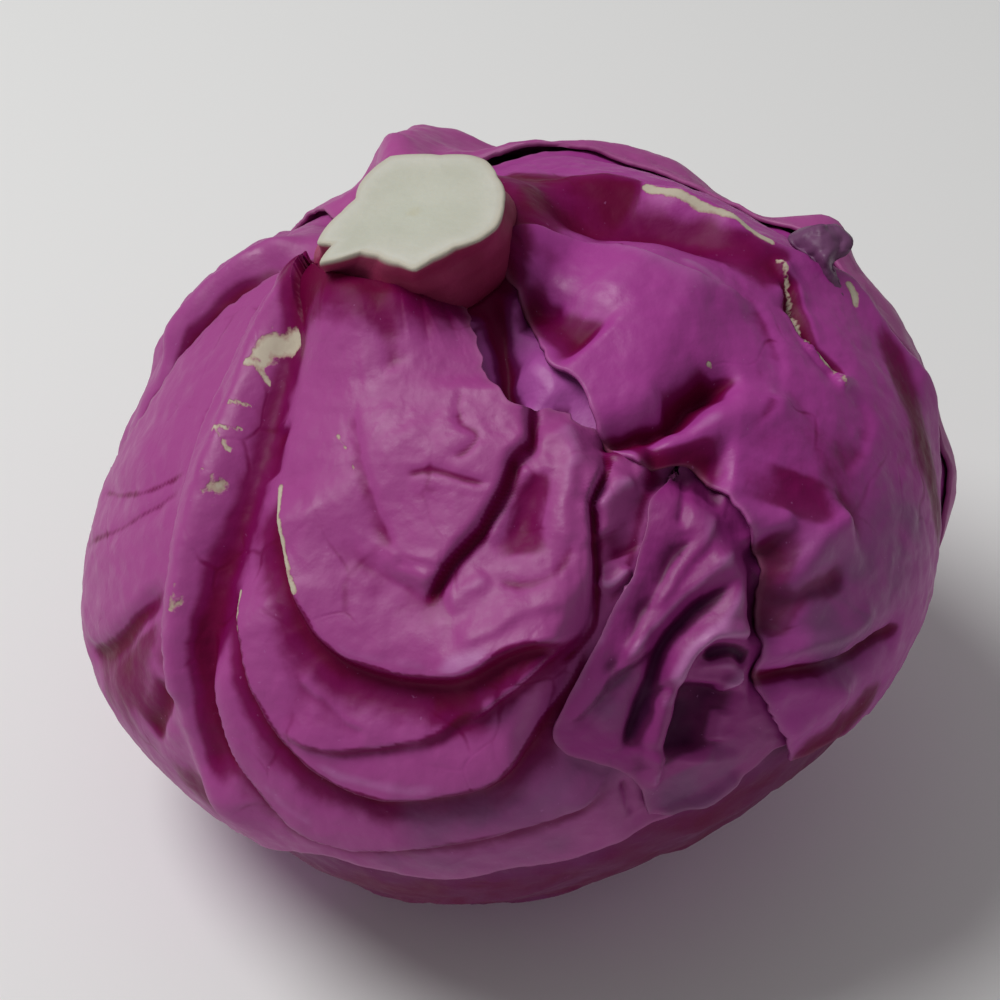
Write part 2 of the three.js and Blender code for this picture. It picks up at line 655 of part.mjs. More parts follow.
function makeStalk() {
  const edge = CUT_EDGE.map(onCut);
  const middle = edge.reduce((total, p) => total.add(p), new THREE.Vector3()).divideScalar(edge.length);
  const lowered = (p, scale, drop) => middle.clone().lerp(p, scale).addScaledVector(stalkAxis, -drop);
  const bearings = edge.map((p) => {
    const off = p.clone().sub(headCentre);
    return Math.atan2(off.dot(headSide), off.dot(headFront));
  });
  const wall = (radius, height, keep) => edge.map((p, i) => {
    const round = fromParts(radius * Math.cos(bearings[i]), radius * Math.sin(bearings[i]), height)
      .add(headCentre);
    return round.lerp(lowered(p, 1, CUT_HEIGHT - height), keep);
  });
  const rings = [
    edge.map((p) => lowered(p, 0.5, 0.4)),
    edge.map((p) => lowered(p, 0.96, 0)),
    edge.map((p) => lowered(p, 1, CUT_ROUNDING)),
    wall(STALK_RADIUS, CUT_HEIGHT - 4, 0.6),
    wall(STALK_RADIUS, CUT_HEIGHT - 9, 0.15),
    wall(STALK_RADIUS, 59, 0),
    wall(CORE_RADIUS, 53, 0),
    wall(CORE_RADIUS, CORE_TOP, 0),
    wall(coreRadius(30), 30, 0),
    wall(coreRadius(14), 14, 0),
    wall(coreRadius(2), 2, 0),
  ];
  const first = lowered(middle, 1, 0.5);
  const last = fromParts(0, 0, CORE_END).add(headCentre);
  const material = new THREE.MeshStandardMaterial({ color: 0xbcbbac, roughness: 0.7, metalness: 0 });
  return ringSolid('stalk', first, rings, last, material);
}

const group = new THREE.Group();
group.add(makeStalk());
for (const leaf of leaves) group.add(leafSolid(leaf));
group.add(makeHeart());

export default group;
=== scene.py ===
# A red cabbage head, resting on its crown with the cut stalk up.
# The leaves come first, from the outermost one inwards, then the heart and the stalk that carries them.
import math

import bmesh
import bpy
import numpy as np
from mathutils import Matrix, Vector, noise


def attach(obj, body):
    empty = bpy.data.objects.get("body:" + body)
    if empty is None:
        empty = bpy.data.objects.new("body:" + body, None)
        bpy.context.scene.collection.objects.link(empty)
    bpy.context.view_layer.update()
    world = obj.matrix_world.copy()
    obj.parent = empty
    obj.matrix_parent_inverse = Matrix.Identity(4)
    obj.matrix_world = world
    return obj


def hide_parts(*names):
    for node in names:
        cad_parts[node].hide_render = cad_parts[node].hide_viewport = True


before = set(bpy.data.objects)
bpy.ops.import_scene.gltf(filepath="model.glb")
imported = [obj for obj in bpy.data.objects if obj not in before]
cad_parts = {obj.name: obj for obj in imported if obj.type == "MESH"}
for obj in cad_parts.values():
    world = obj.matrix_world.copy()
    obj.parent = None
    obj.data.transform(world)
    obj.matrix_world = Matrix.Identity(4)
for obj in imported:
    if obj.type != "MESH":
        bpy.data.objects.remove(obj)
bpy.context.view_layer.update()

# The back leaf: the outermost wrapper leaf, round the far side of the head. It is a sheet of living
# leaf under a millimetre thick, laid on the round head from the stalk to its tip. Its dark rim shows
# on the right outline, with a dried scrap curled up at its shoulder.
MM = 0.001
HEAD_RADIUS, STEM_SIDE, CROWN_SIDE = 80.0, 62.0, 60.0
CROWN_LEVEL, FLAT_DEPTH = -2.5, 3.0
AXIS_TO_VIEW, AXIS_LEAN = math.radians(52), math.radians(18.4)
VIEW_ELEVATION, VIEW_DISTANCE = math.radians(40), 515.0
LENS_MM, SENSOR_MM, PICTURE_PIXELS = 100.0, 36.0, 1000.0
FOCAL_PIXELS = PICTURE_PIXELS * LENS_MM / SENSOR_MM
AIM_RIGHT, AIM_UP = -1.67, 4.64

view_right = np.array([1.0, 0.0, 0.0])
view_up = np.array([0.0, math.sin(VIEW_ELEVATION), math.cos(VIEW_ELEVATION)])
view_back = np.array([0.0, -math.cos(VIEW_ELEVATION), math.sin(VIEW_ELEVATION)])
stalk_axis = (math.cos(AXIS_TO_VIEW) * view_back
              + math.sin(AXIS_TO_VIEW) * math.cos(AXIS_LEAN) * view_up
              - math.sin(AXIS_TO_VIEW) * math.sin(AXIS_LEAN) * view_right)
head_front = view_back - view_back.dot(stalk_axis) * stalk_axis
head_front /= np.linalg.norm(head_front)
head_side = np.cross(stalk_axis, head_front)
head_turn = np.array([head_front, head_side, stalk_axis])


def find_head_centre():
    wide, deep = HEAD_RADIUS + CROWN_LEVEL, CROWN_SIDE + CROWN_LEVEL
    lowest = (deep ** 2 - wide ** 2) * stalk_axis[2] * stalk_axis
    lowest[2] += wide ** 2
    lowest /= math.sqrt(lowest[2])
    lowest[2] -= FLAT_DEPTH
    return lowest


head_centre = find_head_centre()
eye = head_centre + AIM_RIGHT * view_right + AIM_UP * view_up + VIEW_DISTANCE * view_back


def depth_at(q):
    return np.where(q[:, 2] > 0, STEM_SIDE, CROWN_SIDE)


def on_head(q):
    """Places, as unit vectors of front, side and axis parts, on the plain head in millimetres."""
    parts = np.column_stack([q[:, 0] * HEAD_RADIUS, q[:, 1] * HEAD_RADIUS, q[:, 2] * depth_at(q)])
    return parts @ head_turn + head_centre


def outward(q):
    parts = np.column_stack([q[:, 0] / HEAD_RADIUS, q[:, 1] / HEAD_RADIUS, q[:, 2] / depth_at(q)])
    parts /= np.linalg.norm(parts, axis=1, keepdims=True)
    return parts @ head_turn


def hidden(*places):
    """Places given by reach from the stalk and bearing from the head's front, in degrees."""
    reach, bearing = np.radians(np.array(places, float)).T
    wide = np.sin(reach)
    return np.column_stack([wide * np.cos(bearing), wide * np.sin(bearing), np.cos(reach)])


def sight_line(x, y):
    half = PICTURE_PIXELS / 2
    along = -view_back + (x - half) / FOCAL_PIXELS * view_right + (half - y) / FOCAL_PIXELS * view_up
    return along / np.linalg.norm(along)


def seen(*pixels, lift=0.0):
    """Places seen at points of the picture, where the surface is lifted by so much over the plain head."""
    found = []
    for x, y in pixels:
        for deep in (STEM_SIDE, CROWN_SIDE):
            size = np.array([HEAD_RADIUS, HEAD_RADIUS, deep]) + lift
            start = head_turn @ (eye - head_centre) / size
            along = head_turn @ sight_line(x, y) / size
            square, toward = along @ along, start @ along
            gap = max(toward * toward - square * (start @ start - 1), 0)
            hit = start + along * (-toward - math.sqrt(gap)) / square
            if hit[2] > 0:
                break
        found.append(hit / np.linalg.norm(hit))
    return np.array(found)


def ease(x, low, high):
    t = np.clip((x - low) / (high - low), 0, 1)
    return t * t * (3 - 2 * t)


CURVE_STEPS = 24


def curve(knots, count):
    """Evenly spaced places on a smooth curve through the knots."""
    knots = np.asarray(knots, float)
    if len(knots) == 1:
        return knots
    ends = np.vstack([2 * knots[0] - knots[1], knots, 2 * knots[-1] - knots[-2]])
    fine = []
    for p0, p1, p2, p3 in zip(ends, ends[1:], ends[2:], ends[3:]):
        t0, t1, t2 = (max(np.linalg.norm(b - a), 1e-6) ** 0.5 for a, b in ((p0, p1), (p1, p2), (p2, p3)))
        m1 = t1 * ((p1 - p0) / t0 - (p2 - p0) / (t0 + t1) + (p2 - p1) / t1)
        m2 = t1 * ((p2 - p1) / t1 - (p3 - p1) / (t1 + t2) + (p3 - p2) / t2)
        t = np.linspace(0, 1, CURVE_STEPS + 1)[:-1, None]
        fine.append((2 * t ** 3 - 3 * t ** 2 + 1) * p1 + (t ** 3 - 2 * t ** 2 + t) * m1
                    + (3 * t ** 2 - 2 * t ** 3) * p2 + (t ** 3 - t ** 2) * m2)
    fine = np.vstack([*fine, knots[-1:]])
    run = np.concatenate([[0], np.cumsum(np.linalg.norm(np.diff(fine, axis=0), axis=1))])
    spots = np.linspace(0, run[-1], count)
    return np.column_stack([np.interp(spots, run, fine[:, k]) for k in range(3)])


KNOTS_EACH = 4
FADE = 0.18
FOLD_REACH = 2.6
FAR = 1e9


def fold(line, height, left, right=None, fade=FADE):
    """A ridge, or a hollow where height is less than 0, along a line.

    It is so wide on the left and the right hand of one who walks along it, and fades over a share of
    its length at both ends.
    """
    right = left if right is None else right
    fine = curve(line, (len(line) - 1) * KNOTS_EACH + 1) if len(line) > 1 else np.asarray(line)
    fine = fine / np.linalg.norm(fine, axis=1, keepdims=True)
    knots = on_head(fine)
    middle = (knots.min(0) + knots.max(0)) / 2
    round_it = np.linalg.norm(knots - middle, axis=1).max() + FOLD_REACH * max(left, right)
    return dict(knots=knots, height=height, left=left, right=right, fade=fade,
                middle=middle, round_it=round_it)


def fold_height(shape, points, normals):
    heights = np.zeros(len(points))
    near = np.nonzero(np.linalg.norm(points - shape["middle"], axis=1) < shape["round_it"])[0]
    if not len(near):
        return heights
    p, n, knots = points[near], normals[near], shape["knots"]
    best = np.full(len(p), FAR)
    hand = np.ones(len(p))
    share = np.full(len(p), 0.5)
    if len(knots) == 1:
        best = ((p - knots[0]) ** 2).sum(1)
    else:
        runs = np.diff(knots, axis=0)
        lengths = np.linalg.norm(runs, axis=1)
        before = np.concatenate([[0], np.cumsum(lengths)])
        for knot, run, length, start in zip(knots, runs, lengths, before):
            off = p - knot
            t = np.clip(off @ run / length ** 2, 0, 1)
            off = off - t[:, None] * run
            gap = (off ** 2).sum(1)
            closer = gap < best
            best[closer] = gap[closer]
            side = (np.cross(run, off[closer]) * n[closer]).sum(1)
            hand[closer] = side
            share[closer] = (start + t[closer] * length) / before[-1]
    width = np.where(hand > 0, shape["left"], shape["right"])
    ends = ease(share, 0, shape["fade"]) * ease(1 - share, 0, shape["fade"]) if len(knots) > 1 else 1
    heights[near] = shape["height"] * ends * np.exp(-best / width ** 2)
    return heights


def total(shapes, points, normals):
    return sum((fold_height(shape, points, normals) for shape in shapes), np.zeros(len(points)))


UNEVEN = [
    fold(hidden((60, -112)), -2.5, 22),
    fold(hidden((60, 112)), -2.2, 18),
    fold(hidden((104, -60)), -2.6, 24),
    fold(hidden((122, 15)), -2.2, 34),
    fold(hidden((84, -86)), 1, 18),
]
BASE = 11.8
BASE_REACH, BASE_CREEP = math.radians(BASE), 0.4
WAVES, WAVE_SLANT, TIP_PULL, TIP_SHARE, MARGIN_HOLD = 26, 2, 5, 0.7, 4
OUTLINE_STEPS, LINE_STEPS = 44, 240
SKEWED = np.array([0.31, 0.52, 0.8])
TEETH, TOOTH_SEED, TOOTH_SLANT, TOOTH_BAND = 90, 7, 9, 0.94
TEETH_START, TEETH_FULL = 0.04, 0.14
tooth_sizes = np.random.default_rng(TOOTH_SEED).uniform(-1, 1, TEETH)


def leaf_form(left, middle, right, level, bends, ribs=(), details=(), under=(), tip=None, wave=0.0,
              teeth=0.0):
    """A leaf's outline, its heights over the head, and the leaves that lie over it."""
    leaf = dict(left=left, middle=middle, right=right, level=level, bends=list(bends), ribs=list(ribs),
                details=list(details), under=list(under), tip=tip, wave=wave, teeth=teeth)
    s = np.linspace(0, 1, OUTLINE_STEPS)
    one, minus, plus = np.ones_like(s), -np.ones_like(s), np.ones_like(s)
    outline = np.vstack([leaf_places(leaf, s, minus), leaf_places(leaf, one, 2 * s - 1),
                         leaf_places(leaf, s[::-1], plus), leaf_places(leaf, 0 * s, 1 - 2 * s)])
    centre = outline.sum(0) + len(outline) * curve(middle, 3)[1]
    leaf["centre"] = centre / np.linalg.norm(centre)
    east = np.cross(SKEWED, leaf["centre"])
    leaf["east"] = east / np.linalg.norm(east)
    leaf["north"] = np.cross(leaf["centre"], leaf["east"])
    leaf["outline"] = flattened(leaf, outline)
    return leaf


def across(left, middle, right, v):
    v = v[:, None]
    return left * v * (v - 1) / 2 + middle * (1 - v * v) + right * v * (v + 1) / 2


def leaf_places(leaf, u, v):
    """Places on the head for shares u from the stalk to the tip and v from -1 to 1 across."""
    spots = np.linspace(0, 1, LINE_STEPS + 1)

    def line(name, at):
        fine = curve(leaf[name], LINE_STEPS + 1)
        fine /= np.linalg.norm(fine, axis=1, keepdims=True)
        return np.column_stack([np.interp(at, spots, fine[:, k]) for k in range(3)])

    def lofted(at):
        waved = v * (1 + leaf["wave"] * v ** MARGIN_HOLD * np.sin(WAVES * at + WAVE_SLANT * v))
        toothed = np.interp(at * TEETH + TOOTH_SLANT * v, np.arange(TEETH), tooth_sizes, period=TEETH)
        margin = ease(np.abs(v), TOOTH_BAND, 1) * ease(at, TEETH_START, TEETH_FULL)
        waved += leaf["teeth"] * v * margin * toothed
        return across(line("left", at), line("middle", at), line("right", at), waved)

    q = lofted(u)
    step = 1 / LINE_STEPS
    slope = (q - lofted(np.clip(u - step, 0, 1))) / step
    q = q + leaf["wave"] * TIP_SHARE * (u ** TIP_PULL * np.cos(WAVES * v))[:, None] * slope
    if leaf["tip"] is not None:
        ends = curve(leaf["tip"], LINE_STEPS + 1)
        wanted = np.column_stack([np.interp((v + 1) / 2, spots, ends[:, k]) for k in range(3)])
        one = np.ones_like(u)
        end = across(line("left", one), line("middle", one), line("right", one), v)
        q = q + (u ** TIP_PULL)[:, None] * (wanted - end)
    q = q / np.linalg.norm(q, axis=1, keepdims=True)
    wide = np.hypot(q[:, 0], q[:, 1])
    least = BASE_REACH + BASE_CREEP * u
    near_stalk = np.arccos(np.clip(q[:, 2], -1, 1)) < least
    grow = np.where(near_stalk, np.sin(least) / np.maximum(wide, 1e-6), 1)
    q[:, :2] *= grow[:, None]
    q[near_stalk, 2] = np.cos(least[near_stalk])
    return q


def flattened(leaf, q):
    scale = (HEAD_RADIUS + STEM_SIDE) / (1 + q @ leaf["centre"])
    return np.column_stack([q @ leaf["east"] * scale, q @ leaf["north"] * scale])


def inside_margin(leaf, q):
    """How far inside a leaf's margin each place is, in millimetres, and less than 0 outside it."""
    x, y = flattened(leaf, q).T
    nearest = np.full(len(q), FAR)
    within = np.zeros(len(q), bool)
    ring = leaf["outline"]
    for (x1, y1), (x2, y2) in zip(ring, np.roll(ring, -1, axis=0)):
        dx, dy = x2 - x1, y2 - y1
        if dx * dx + dy * dy < 1e-9:
            continue
        t = np.clip(((x - x1) * dx + (y - y1) * dy) / (dx * dx + dy * dy), 0, 1)
        nearest = np.minimum(nearest, (x - x1 - t * dx) ** 2 + (y - y1 - t * dy) ** 2)
        if y1 != y2:
            within ^= ((y1 > y) != (y2 > y)) & (x < x1 + (y - y1) / dy * dx)
    return np.where(within, 1, -1) * np.sqrt(nearest) * (1 + q @ leaf["centre"]) / 2


LEAF_THICKNESS = 0.8
LAYER_GAP = 0.7
PRESS_BAND, PRESS_CLEAR = 7.0, 0.8


def pressed(leaf, q, heights):
    """A lower leaf lies under the inner face of every leaf over it."""
    for upper in leaf["under"]:
        cover = ease(inside_margin(upper, q), -PRESS_BAND, -PRESS_CLEAR)
        below = np.nonzero(cover > 0)[0]
        if len(below):
            ceiling = leaf_faces(upper, q[below])[1] - LAYER_GAP
            sunk = heights[below] + (ceiling - heights[below]) * cover[below]
            heights[below] = np.minimum(heights[below], sunk)
    return heights


def leaf_faces(leaf, q):
    points, normals = on_head(q), outward(q)
    bent = leaf["level"] + total(UNEVEN, points, normals) + total(leaf["bends"], points, normals)
    outer = pressed(leaf, q, bent + total(leaf["ribs"], points, normals))
    hollows = np.minimum(total(leaf["details"], points, normals), 0)
    return outer, np.minimum(bent, outer) + hollows - LEAF_THICKNESS


def settled(q, heights):
    """On the flat spot under the crown each layer is as flat as the one outside it."""
    points = on_head(q) + outward(q) * heights[:, None]
    points[:, 2] = np.maximum(points[:, 2], np.maximum(CROWN_LEVEL - heights, 0))
    return points


RUMPLE_FALL, RUMPLE_STEP = 0.9, 2.1


def rumple(points, size, depth=3):
    """Smooth random heights from -1 to 1, in hollows about as wide as size in millimetres."""
    return np.array([noise.fractal(Vector(p / size), RUMPLE_FALL, RUMPLE_STEP, depth) for p in points])


def mark(mesh, name, values):
    """Keeps a value for each point of the mesh, for its material to read."""
    layer = mesh.attributes.new(name, "FLOAT", "POINT")
    layer.data.foreach_set("value", np.ascontiguousarray(values, np.float32))


def softened(field, reach):
    """A field of heights with all that is smaller than the reach, in cells, taken off."""
    bell = np.hanning(2 * reach + 3)[1:-1]
    bell /= bell.sum()
    for axis in (0, 1):
        field = np.apply_along_axis(lambda line: np.convolve(np.pad(line, reach, "edge"), bell, "valid"),
                                    axis, field)
    return field


HOLLOW_SPAN = 5.5
RELIEF_LOW, RELIEF_HIGH, SHADE_LIGHT_TINT_MOST = -1.2, 1.6, 1.6
BASE_SHADE_REACH, BASE_SHADE, SMOOTH_BASE = math.radians(20), -1.4, 0.1
WOBBLE, WOBBLE_SPAN, WOBBLE_SHIFTS = 0.5, 7.0, (0, 40, 80)
SWELL, SWELL_SPAN = 0.35, 9.0
WRINKLE, WRINKLE_SPAN, WRINKLE_SHIFT = 0.12, 2.6, 50
CRUMPLE_SPAN, CRUMPLE_DEPTH, CRUMPLE_SHIFT = 7.0, 4, 90
EDGE_BAND, EDGE_MEAN, EDGE_SPAN, EDGE_SHIFT = 3.0, 0.6, 6.0, 20
RIM_BAND = 0.8


def leaf_sheet(name, leaf, node, material, rows, columns, shades_lights_and_tints=(), worn=(), bloom=(), crumple=0.0,
               edge_lift=0.0, crowd=0.0):
    """A leaf as one thin closed sheet, with marks of its relief (painted shade in the hollows, painted
    highlight on the ridges), of painted shade, painted highlight and tint along lines, and of its bloom,
    worn places and margin.
    """
    sheet = bmesh.new()
    bmesh.ops.create_grid(sheet, x_segments=columns, y_segments=rows, size=1)
    mesh = bpy.data.meshes.new(name)
    sheet.to_mesh(mesh)
    sheet.free()
    flat = np.empty(len(mesh.vertices) * 3)
    mesh.vertices.foreach_get("co", flat)
    v, u = flat.reshape(-1, 3)[:, 0].copy(), (flat.reshape(-1, 3)[:, 1] + 1) / 2
    v += crowd * (1 - v * v)
    q = leaf_places(leaf, u, v)
    reach = np.arccos(np.clip(q[:, 2], -1, 1))
    points, normals = on_head(q), outward(q)
    wobbles = [rumple(points + shift, WOBBLE_SPAN, 2) for shift in WOBBLE_SHIFTS]
    wobbled = points + WOBBLE * np.column_stack(wobbles)
    veins = total(leaf["details"], wobbled, normals)
    stir = SWELL * rumple(points, SWELL_SPAN) + WRINKLE * rumple(points + WRINKLE_SHIFT, WRINKLE_SPAN)
    if crumple:
        stir += crumple * rumple(points + CRUMPLE_SHIFT, CRUMPLE_SPAN, CRUMPLE_DEPTH)
    stir *= ease(reach, BASE_REACH, BASE_REACH + SMOOTH_BASE)
    order = np.lexsort((v, u)).reshape(rows + 1, columns + 1)
    spread = points[order]
    to_edge = [np.linalg.norm(spread - spread[:, side:side + 1 or None], axis=2) for side in (0, -1)]
    to_edge.append(np.linalg.norm(spread - spread[-1:], axis=2))
    rim = np.empty(len(points))
    rim[order] = np.minimum.reduce(to_edge)
    uneven_edge = EDGE_MEAN + rumple(points + EDGE_SHIFT, EDGE_SPAN)
    edge = edge_lift * np.exp(-(rim / EDGE_BAND) ** 2) * uneven_edge
    heights = leaf_faces(leaf, q)[0] + veins + stir + edge
    mesh.vertices.foreach_set("co", np.ascontiguousarray(settled(q, heights) * MM).ravel())
    cell = np.linalg.norm(spread[rows // 2, 1:] - spread[rows // 2, :-1], axis=1).mean()
    # The relief mark is how far each point stands over or under its softened surroundings: the skin paints
    # it as shade in the hollows and as highlight on the ridges.
    ground = softened(heights[order], round(HOLLOW_SPAN / cell))
    relief = np.empty(len(points))
    relief[order] = np.clip(heights[order] - ground, RELIEF_LOW, RELIEF_HIGH)
    # Painted shade where the leaves meet the stalk: the colour darkens towards the stalk.
    stained = BASE_SHADE * (1 - ease(reach, BASE_REACH, BASE_SHADE_REACH))
    mark(mesh, "relief", relief)
    mark(mesh, "shade_light_and_tint", np.clip(total(shades_lights_and_tints, wobbled, normals) + stained, -SHADE_LIGHT_TINT_MOST, SHADE_LIGHT_TINT_MOST))
    mark(mesh, "bloom", np.clip(total(bloom, points, normals), 0, 1))
    mark(mesh, "rim", np.exp(-(rim / RIM_BAND) ** 2))
    rubbed = [fold_height(shape, points, normals) for shape in worn] or [0 * rim]
    mark(mesh, "worn", np.max(rubbed, axis=0))
    mesh.update()
    middle = mesh.polygons[len(mesh.polygons) // 2]
    if np.array(middle.normal) @ (np.array(middle.center) / MM - head_centre) < 0:
        mesh.flip_normals()
    mesh.shade_smooth()
    mesh.materials.append(material)
    piece = bpy.data.objects.new(name, mesh)
    bpy.context.collection.objects.link(piece)
    wall = piece.modifiers.new("thickness", "SOLIDIFY")
    wall.thickness = LEAF_THICKNESS * MM
    wall.offset = -1
    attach(piece, "root")
    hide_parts(node)


# Colours of painted light: each skin's deep colour is its darker tone and the painted shade of its hollows,
# the darkest crimson is painted shade in the deepest crevices, and lilac is painted highlight as well as
# the colour of the leaf's own pale specks.
LIGHT_AND_SPECK_LILAC, DARKEST_SHADE_CRIMSON = (0.44, 0.15, 0.38), (0.13, 0.001, 0.035)
WORN_CREAM, WORN_BROWN = (0.52, 0.46, 0.36), (0.4, 0.26, 0.22)
GREY_BLOOM, TORN_PINK = (0.18, 0.062, 0.165), (0.45, 0.22, 0.34)
PATCHES, BLOTCHES, FINE_GRAIN, SPECKS = (28, 4, 0.6), (85, 5, 0.8), (260, 4), (1100, 2)
NET_PATCHES, BLOOM_PATCHES, FRAYED_GRAIN = (40, 3, 0.5), (60, 5, 1.5), (520, 5)
PORES, DIMPLES = (650, 4), (150, 3, 0.3)
NET_SWIRL, NET_SHIFT, NET_CELLS, NET_WIDTH = 60, 0.012, 64, 0.04
RELIEF_SHADE_AND_LIGHT, PATCH_TINT, BLOTCH_TINT, GRAIN_TINT, NET_TINT = 0.42, 1.0, 0.75, 0.35, 0.24
DEEP_SHOWS, DARKEST_SHOWS, LILAC_SHOWS = (-0.15, -0.75), (-0.75, -1.5), (0.35, 1.5, 0.0, 0.8)
NET_SHOWS, BLOOM_SHOWS, SPECKS_SHOW = (0.47, 0.68), (0.3, 0.65, 0.35, 1.0), (0.72, 0.78)
WORN_SHOWS, CREAM_SHOWS, FRAYING = (0.42, 0.62), (0.5, 0.85), 0.8
BLOOM_MOST, RIM_MOST, SPECKS_MOST = 0.75, 0.18, 0.3
ROUGHNESS, ROUGH_LESS, ROUGH_MORE, WORN_ROUGH, ROUGH_SHOWS = 0.46, 0.08, 0.14, 0.3, (0.2, 0.8)
SHEEN, COAT, COAT_ROUGHNESS = (-1.1, 0.3, 0.06, 0.34), 0.04, 0.35
PORE_DEPTH, DIMPLE_DEPTH, WORN_DEPTH, NET_DEPTH = 0.35, 0.7, 0.35, 0.14
BUMP_STRENGTH, BUMP_DISTANCE = 0.5, 0.0006


def leaf_skin(name, body, deep, darkest_shade=DARKEST_SHADE_CRIMSON):
    """Living leaf: waxy purple over pale flesh and worn cream on the ribs, with painted shade in deep
    crimson in the hollows and painted highlights in lilac on the ridges.
    """
    skin = bpy.data.materials.new(name)
    skin.use_nodes = True
    nodes, links = skin.node_tree.nodes, skin.node_tree.links
    surface = nodes["Principled BSDF"]

    def add(kind, **settings):
        made = nodes.new(kind)
        for key, value in settings.items():
            setattr(made, key, value)
        return made

    def value(name):
        return add("ShaderNodeAttribute", attribute_name=name).outputs["Fac"]

    def ranged(source, low, high, to_low=0.0, to_high=1.0):
        made = add("ShaderNodeMapRange", interpolation_type="SMOOTHSTEP")
        links.new(source, made.inputs["Value"])
        for key, number in zip(("From Min", "From Max", "To Min", "To Max"), (low, high, to_low, to_high)):
            made.inputs[key].default_value = number
        return made.outputs["Result"]

    def math_of(kind, first, second):
        made = add("ShaderNodeMath", operation=kind)
        for socket, source in zip(made.inputs, (first, second)):
            if isinstance(source, (int, float)):
                socket.default_value = source
            else:
                links.new(source, socket)
        return made.outputs["Value"]

    def centred(source):
        return math_of("SUBTRACT", source, 0.5)

    def summed(first, *parts):
        for source, share in parts:
            first = math_of("ADD", first, math_of("MULTIPLY", source, share))
        return first

    def mixed(factor, first, second):
        made = add("ShaderNodeMix", data_type="RGBA")
        for index, source in ((0, factor), (6, first), (7, second)):
            if isinstance(source, tuple):
                made.inputs[index].default_value = (*source, 1)
            elif isinstance(source, (int, float)):
                made.inputs[index].default_value = source
            else:
                links.new(source, made.inputs[index])
        return made.outputs[2]

    place = add("ShaderNodeTexCoord").outputs["Object"]

    def grain(scale, detail=3.0, distortion=0.0):
        made = add("ShaderNodeTexNoise")
        links.new(place, made.inputs["Vector"])
        made.inputs["Scale"].default_value = scale
        made.inputs["Detail"].default_value = detail
        made.inputs["Distortion"].default_value = distortion
        return made.outputs["Fac"]

    def vein_net():
        swirl = add("ShaderNodeTexNoise")
        links.new(place, swirl.inputs["Vector"])
        swirl.inputs["Scale"].default_value = NET_SWIRL
        bent = add("ShaderNodeVectorMath", operation="MULTIPLY_ADD")
        links.new(swirl.outputs["Color"], bent.inputs[0])
        bent.inputs[1].default_value = (NET_SHIFT, NET_SHIFT, NET_SHIFT)
        links.new(place, bent.inputs[2])
        cells = add("ShaderNodeTexVoronoi", feature="DISTANCE_TO_EDGE")
        links.new(bent.outputs["Vector"], cells.inputs["Vector"])
        cells.inputs["Scale"].default_value = NET_CELLS
        return ranged(cells.outputs["Distance"], 0.0, NET_WIDTH, 1.0, 0.0)

    fine = grain(*FINE_GRAIN)
    net = math_of("MULTIPLY", vein_net(), ranged(grain(*NET_PATCHES), *NET_SHOWS))
    # Painted shade and light: the shade-and-light mark and the relief push the colour towards deep crimson,
    # darkest crimson and lilac, mixed with random patches, grain and veins of the leaf's own tone; the same
    # sum dims the specular in the painted shade.
    shaded_lit_and_tinted = summed(
        value("shade_light_and_tint"), (value("relief"), RELIEF_SHADE_AND_LIGHT), (centred(grain(*PATCHES)), PATCH_TINT),
        (centred(grain(*BLOTCHES)), BLOTCH_TINT), (centred(fine), GRAIN_TINT), (net, -NET_TINT))
    colour = mixed(ranged(shaded_lit_and_tinted, *DEEP_SHOWS), body, deep)
    colour = mixed(ranged(shaded_lit_and_tinted, *DARKEST_SHOWS), colour, darkest_shade)
    colour = mixed(ranged(shaded_lit_and_tinted, *LILAC_SHOWS), colour, LIGHT_AND_SPECK_LILAC)
    bloomed = math_of("MULTIPLY", ranged(grain(*BLOOM_PATCHES), *BLOOM_SHOWS), value("bloom"))
    colour = mixed(math_of("MULTIPLY", bloomed, BLOOM_MOST), colour, GREY_BLOOM)
    frayed = math_of("ADD", centred(fine), centred(grain(*FRAYED_GRAIN)))
    torn_edge = summed(value("worn"), (frayed, FRAYING))
    scuffed = ranged(torn_edge, *WORN_SHOWS)
    colour = mixed(scuffed, colour, mixed(ranged(torn_edge, *CREAM_SHOWS), WORN_BROWN, WORN_CREAM))
    colour = mixed(math_of("MULTIPLY", value("rim"), RIM_MOST), colour, TORN_PINK)
    specks = ranged(grain(*SPECKS), *SPECKS_SHOW)
    colour = mixed(math_of("MULTIPLY", specks, SPECKS_MOST), colour, LIGHT_AND_SPECK_LILAC)
    links.new(colour, surface.inputs["Base Color"])
    rough = ranged(fine, *ROUGH_SHOWS, ROUGHNESS - ROUGH_LESS, ROUGHNESS + ROUGH_MORE)
    links.new(summed(rough, (scuffed, WORN_ROUGH)), surface.inputs["Roughness"])
    surface.inputs["Coat Weight"].default_value = COAT
    surface.inputs["Coat Roughness"].default_value = COAT_ROUGHNESS
    links.new(ranged(shaded_lit_and_tinted, *SHEEN), surface.inputs["Specular IOR Level"])
    relief = add("ShaderNodeBump")
    relief.inputs["Strength"].default_value = BUMP_STRENGTH
    relief.inputs["Distance"].default_value = BUMP_DISTANCE
    height = summed(math_of("MULTIPLY", grain(*PORES), PORE_DEPTH), (grain(*DIMPLES), DIMPLE_DEPTH),
                    (scuffed, -WORN_DEPTH), (net, -NET_DEPTH))
    links.new(height, relief.inputs["Height"])
    links.new(relief.outputs["Normal"], surface.inputs["Normal"])
    return skin


VEIN_FAR_SIDE = 1.2


def side_veins(count, start, step, slant, bearing, root, near, far, height=0.9, width=5):
    """Side veins in pairs, each from the midrib past a near point to a far one."""
    return [fold(hidden((start + step * i, bearing + side * root),
                        (start + near[0] + step * i, bearing + side * near[1]),
                        (start + far[0] + (step - slant) * i, bearing + side * far[1])),
                 height, width, VEIN_FAR_SIDE)
            for i in range(count) for side in (-1, 1)]


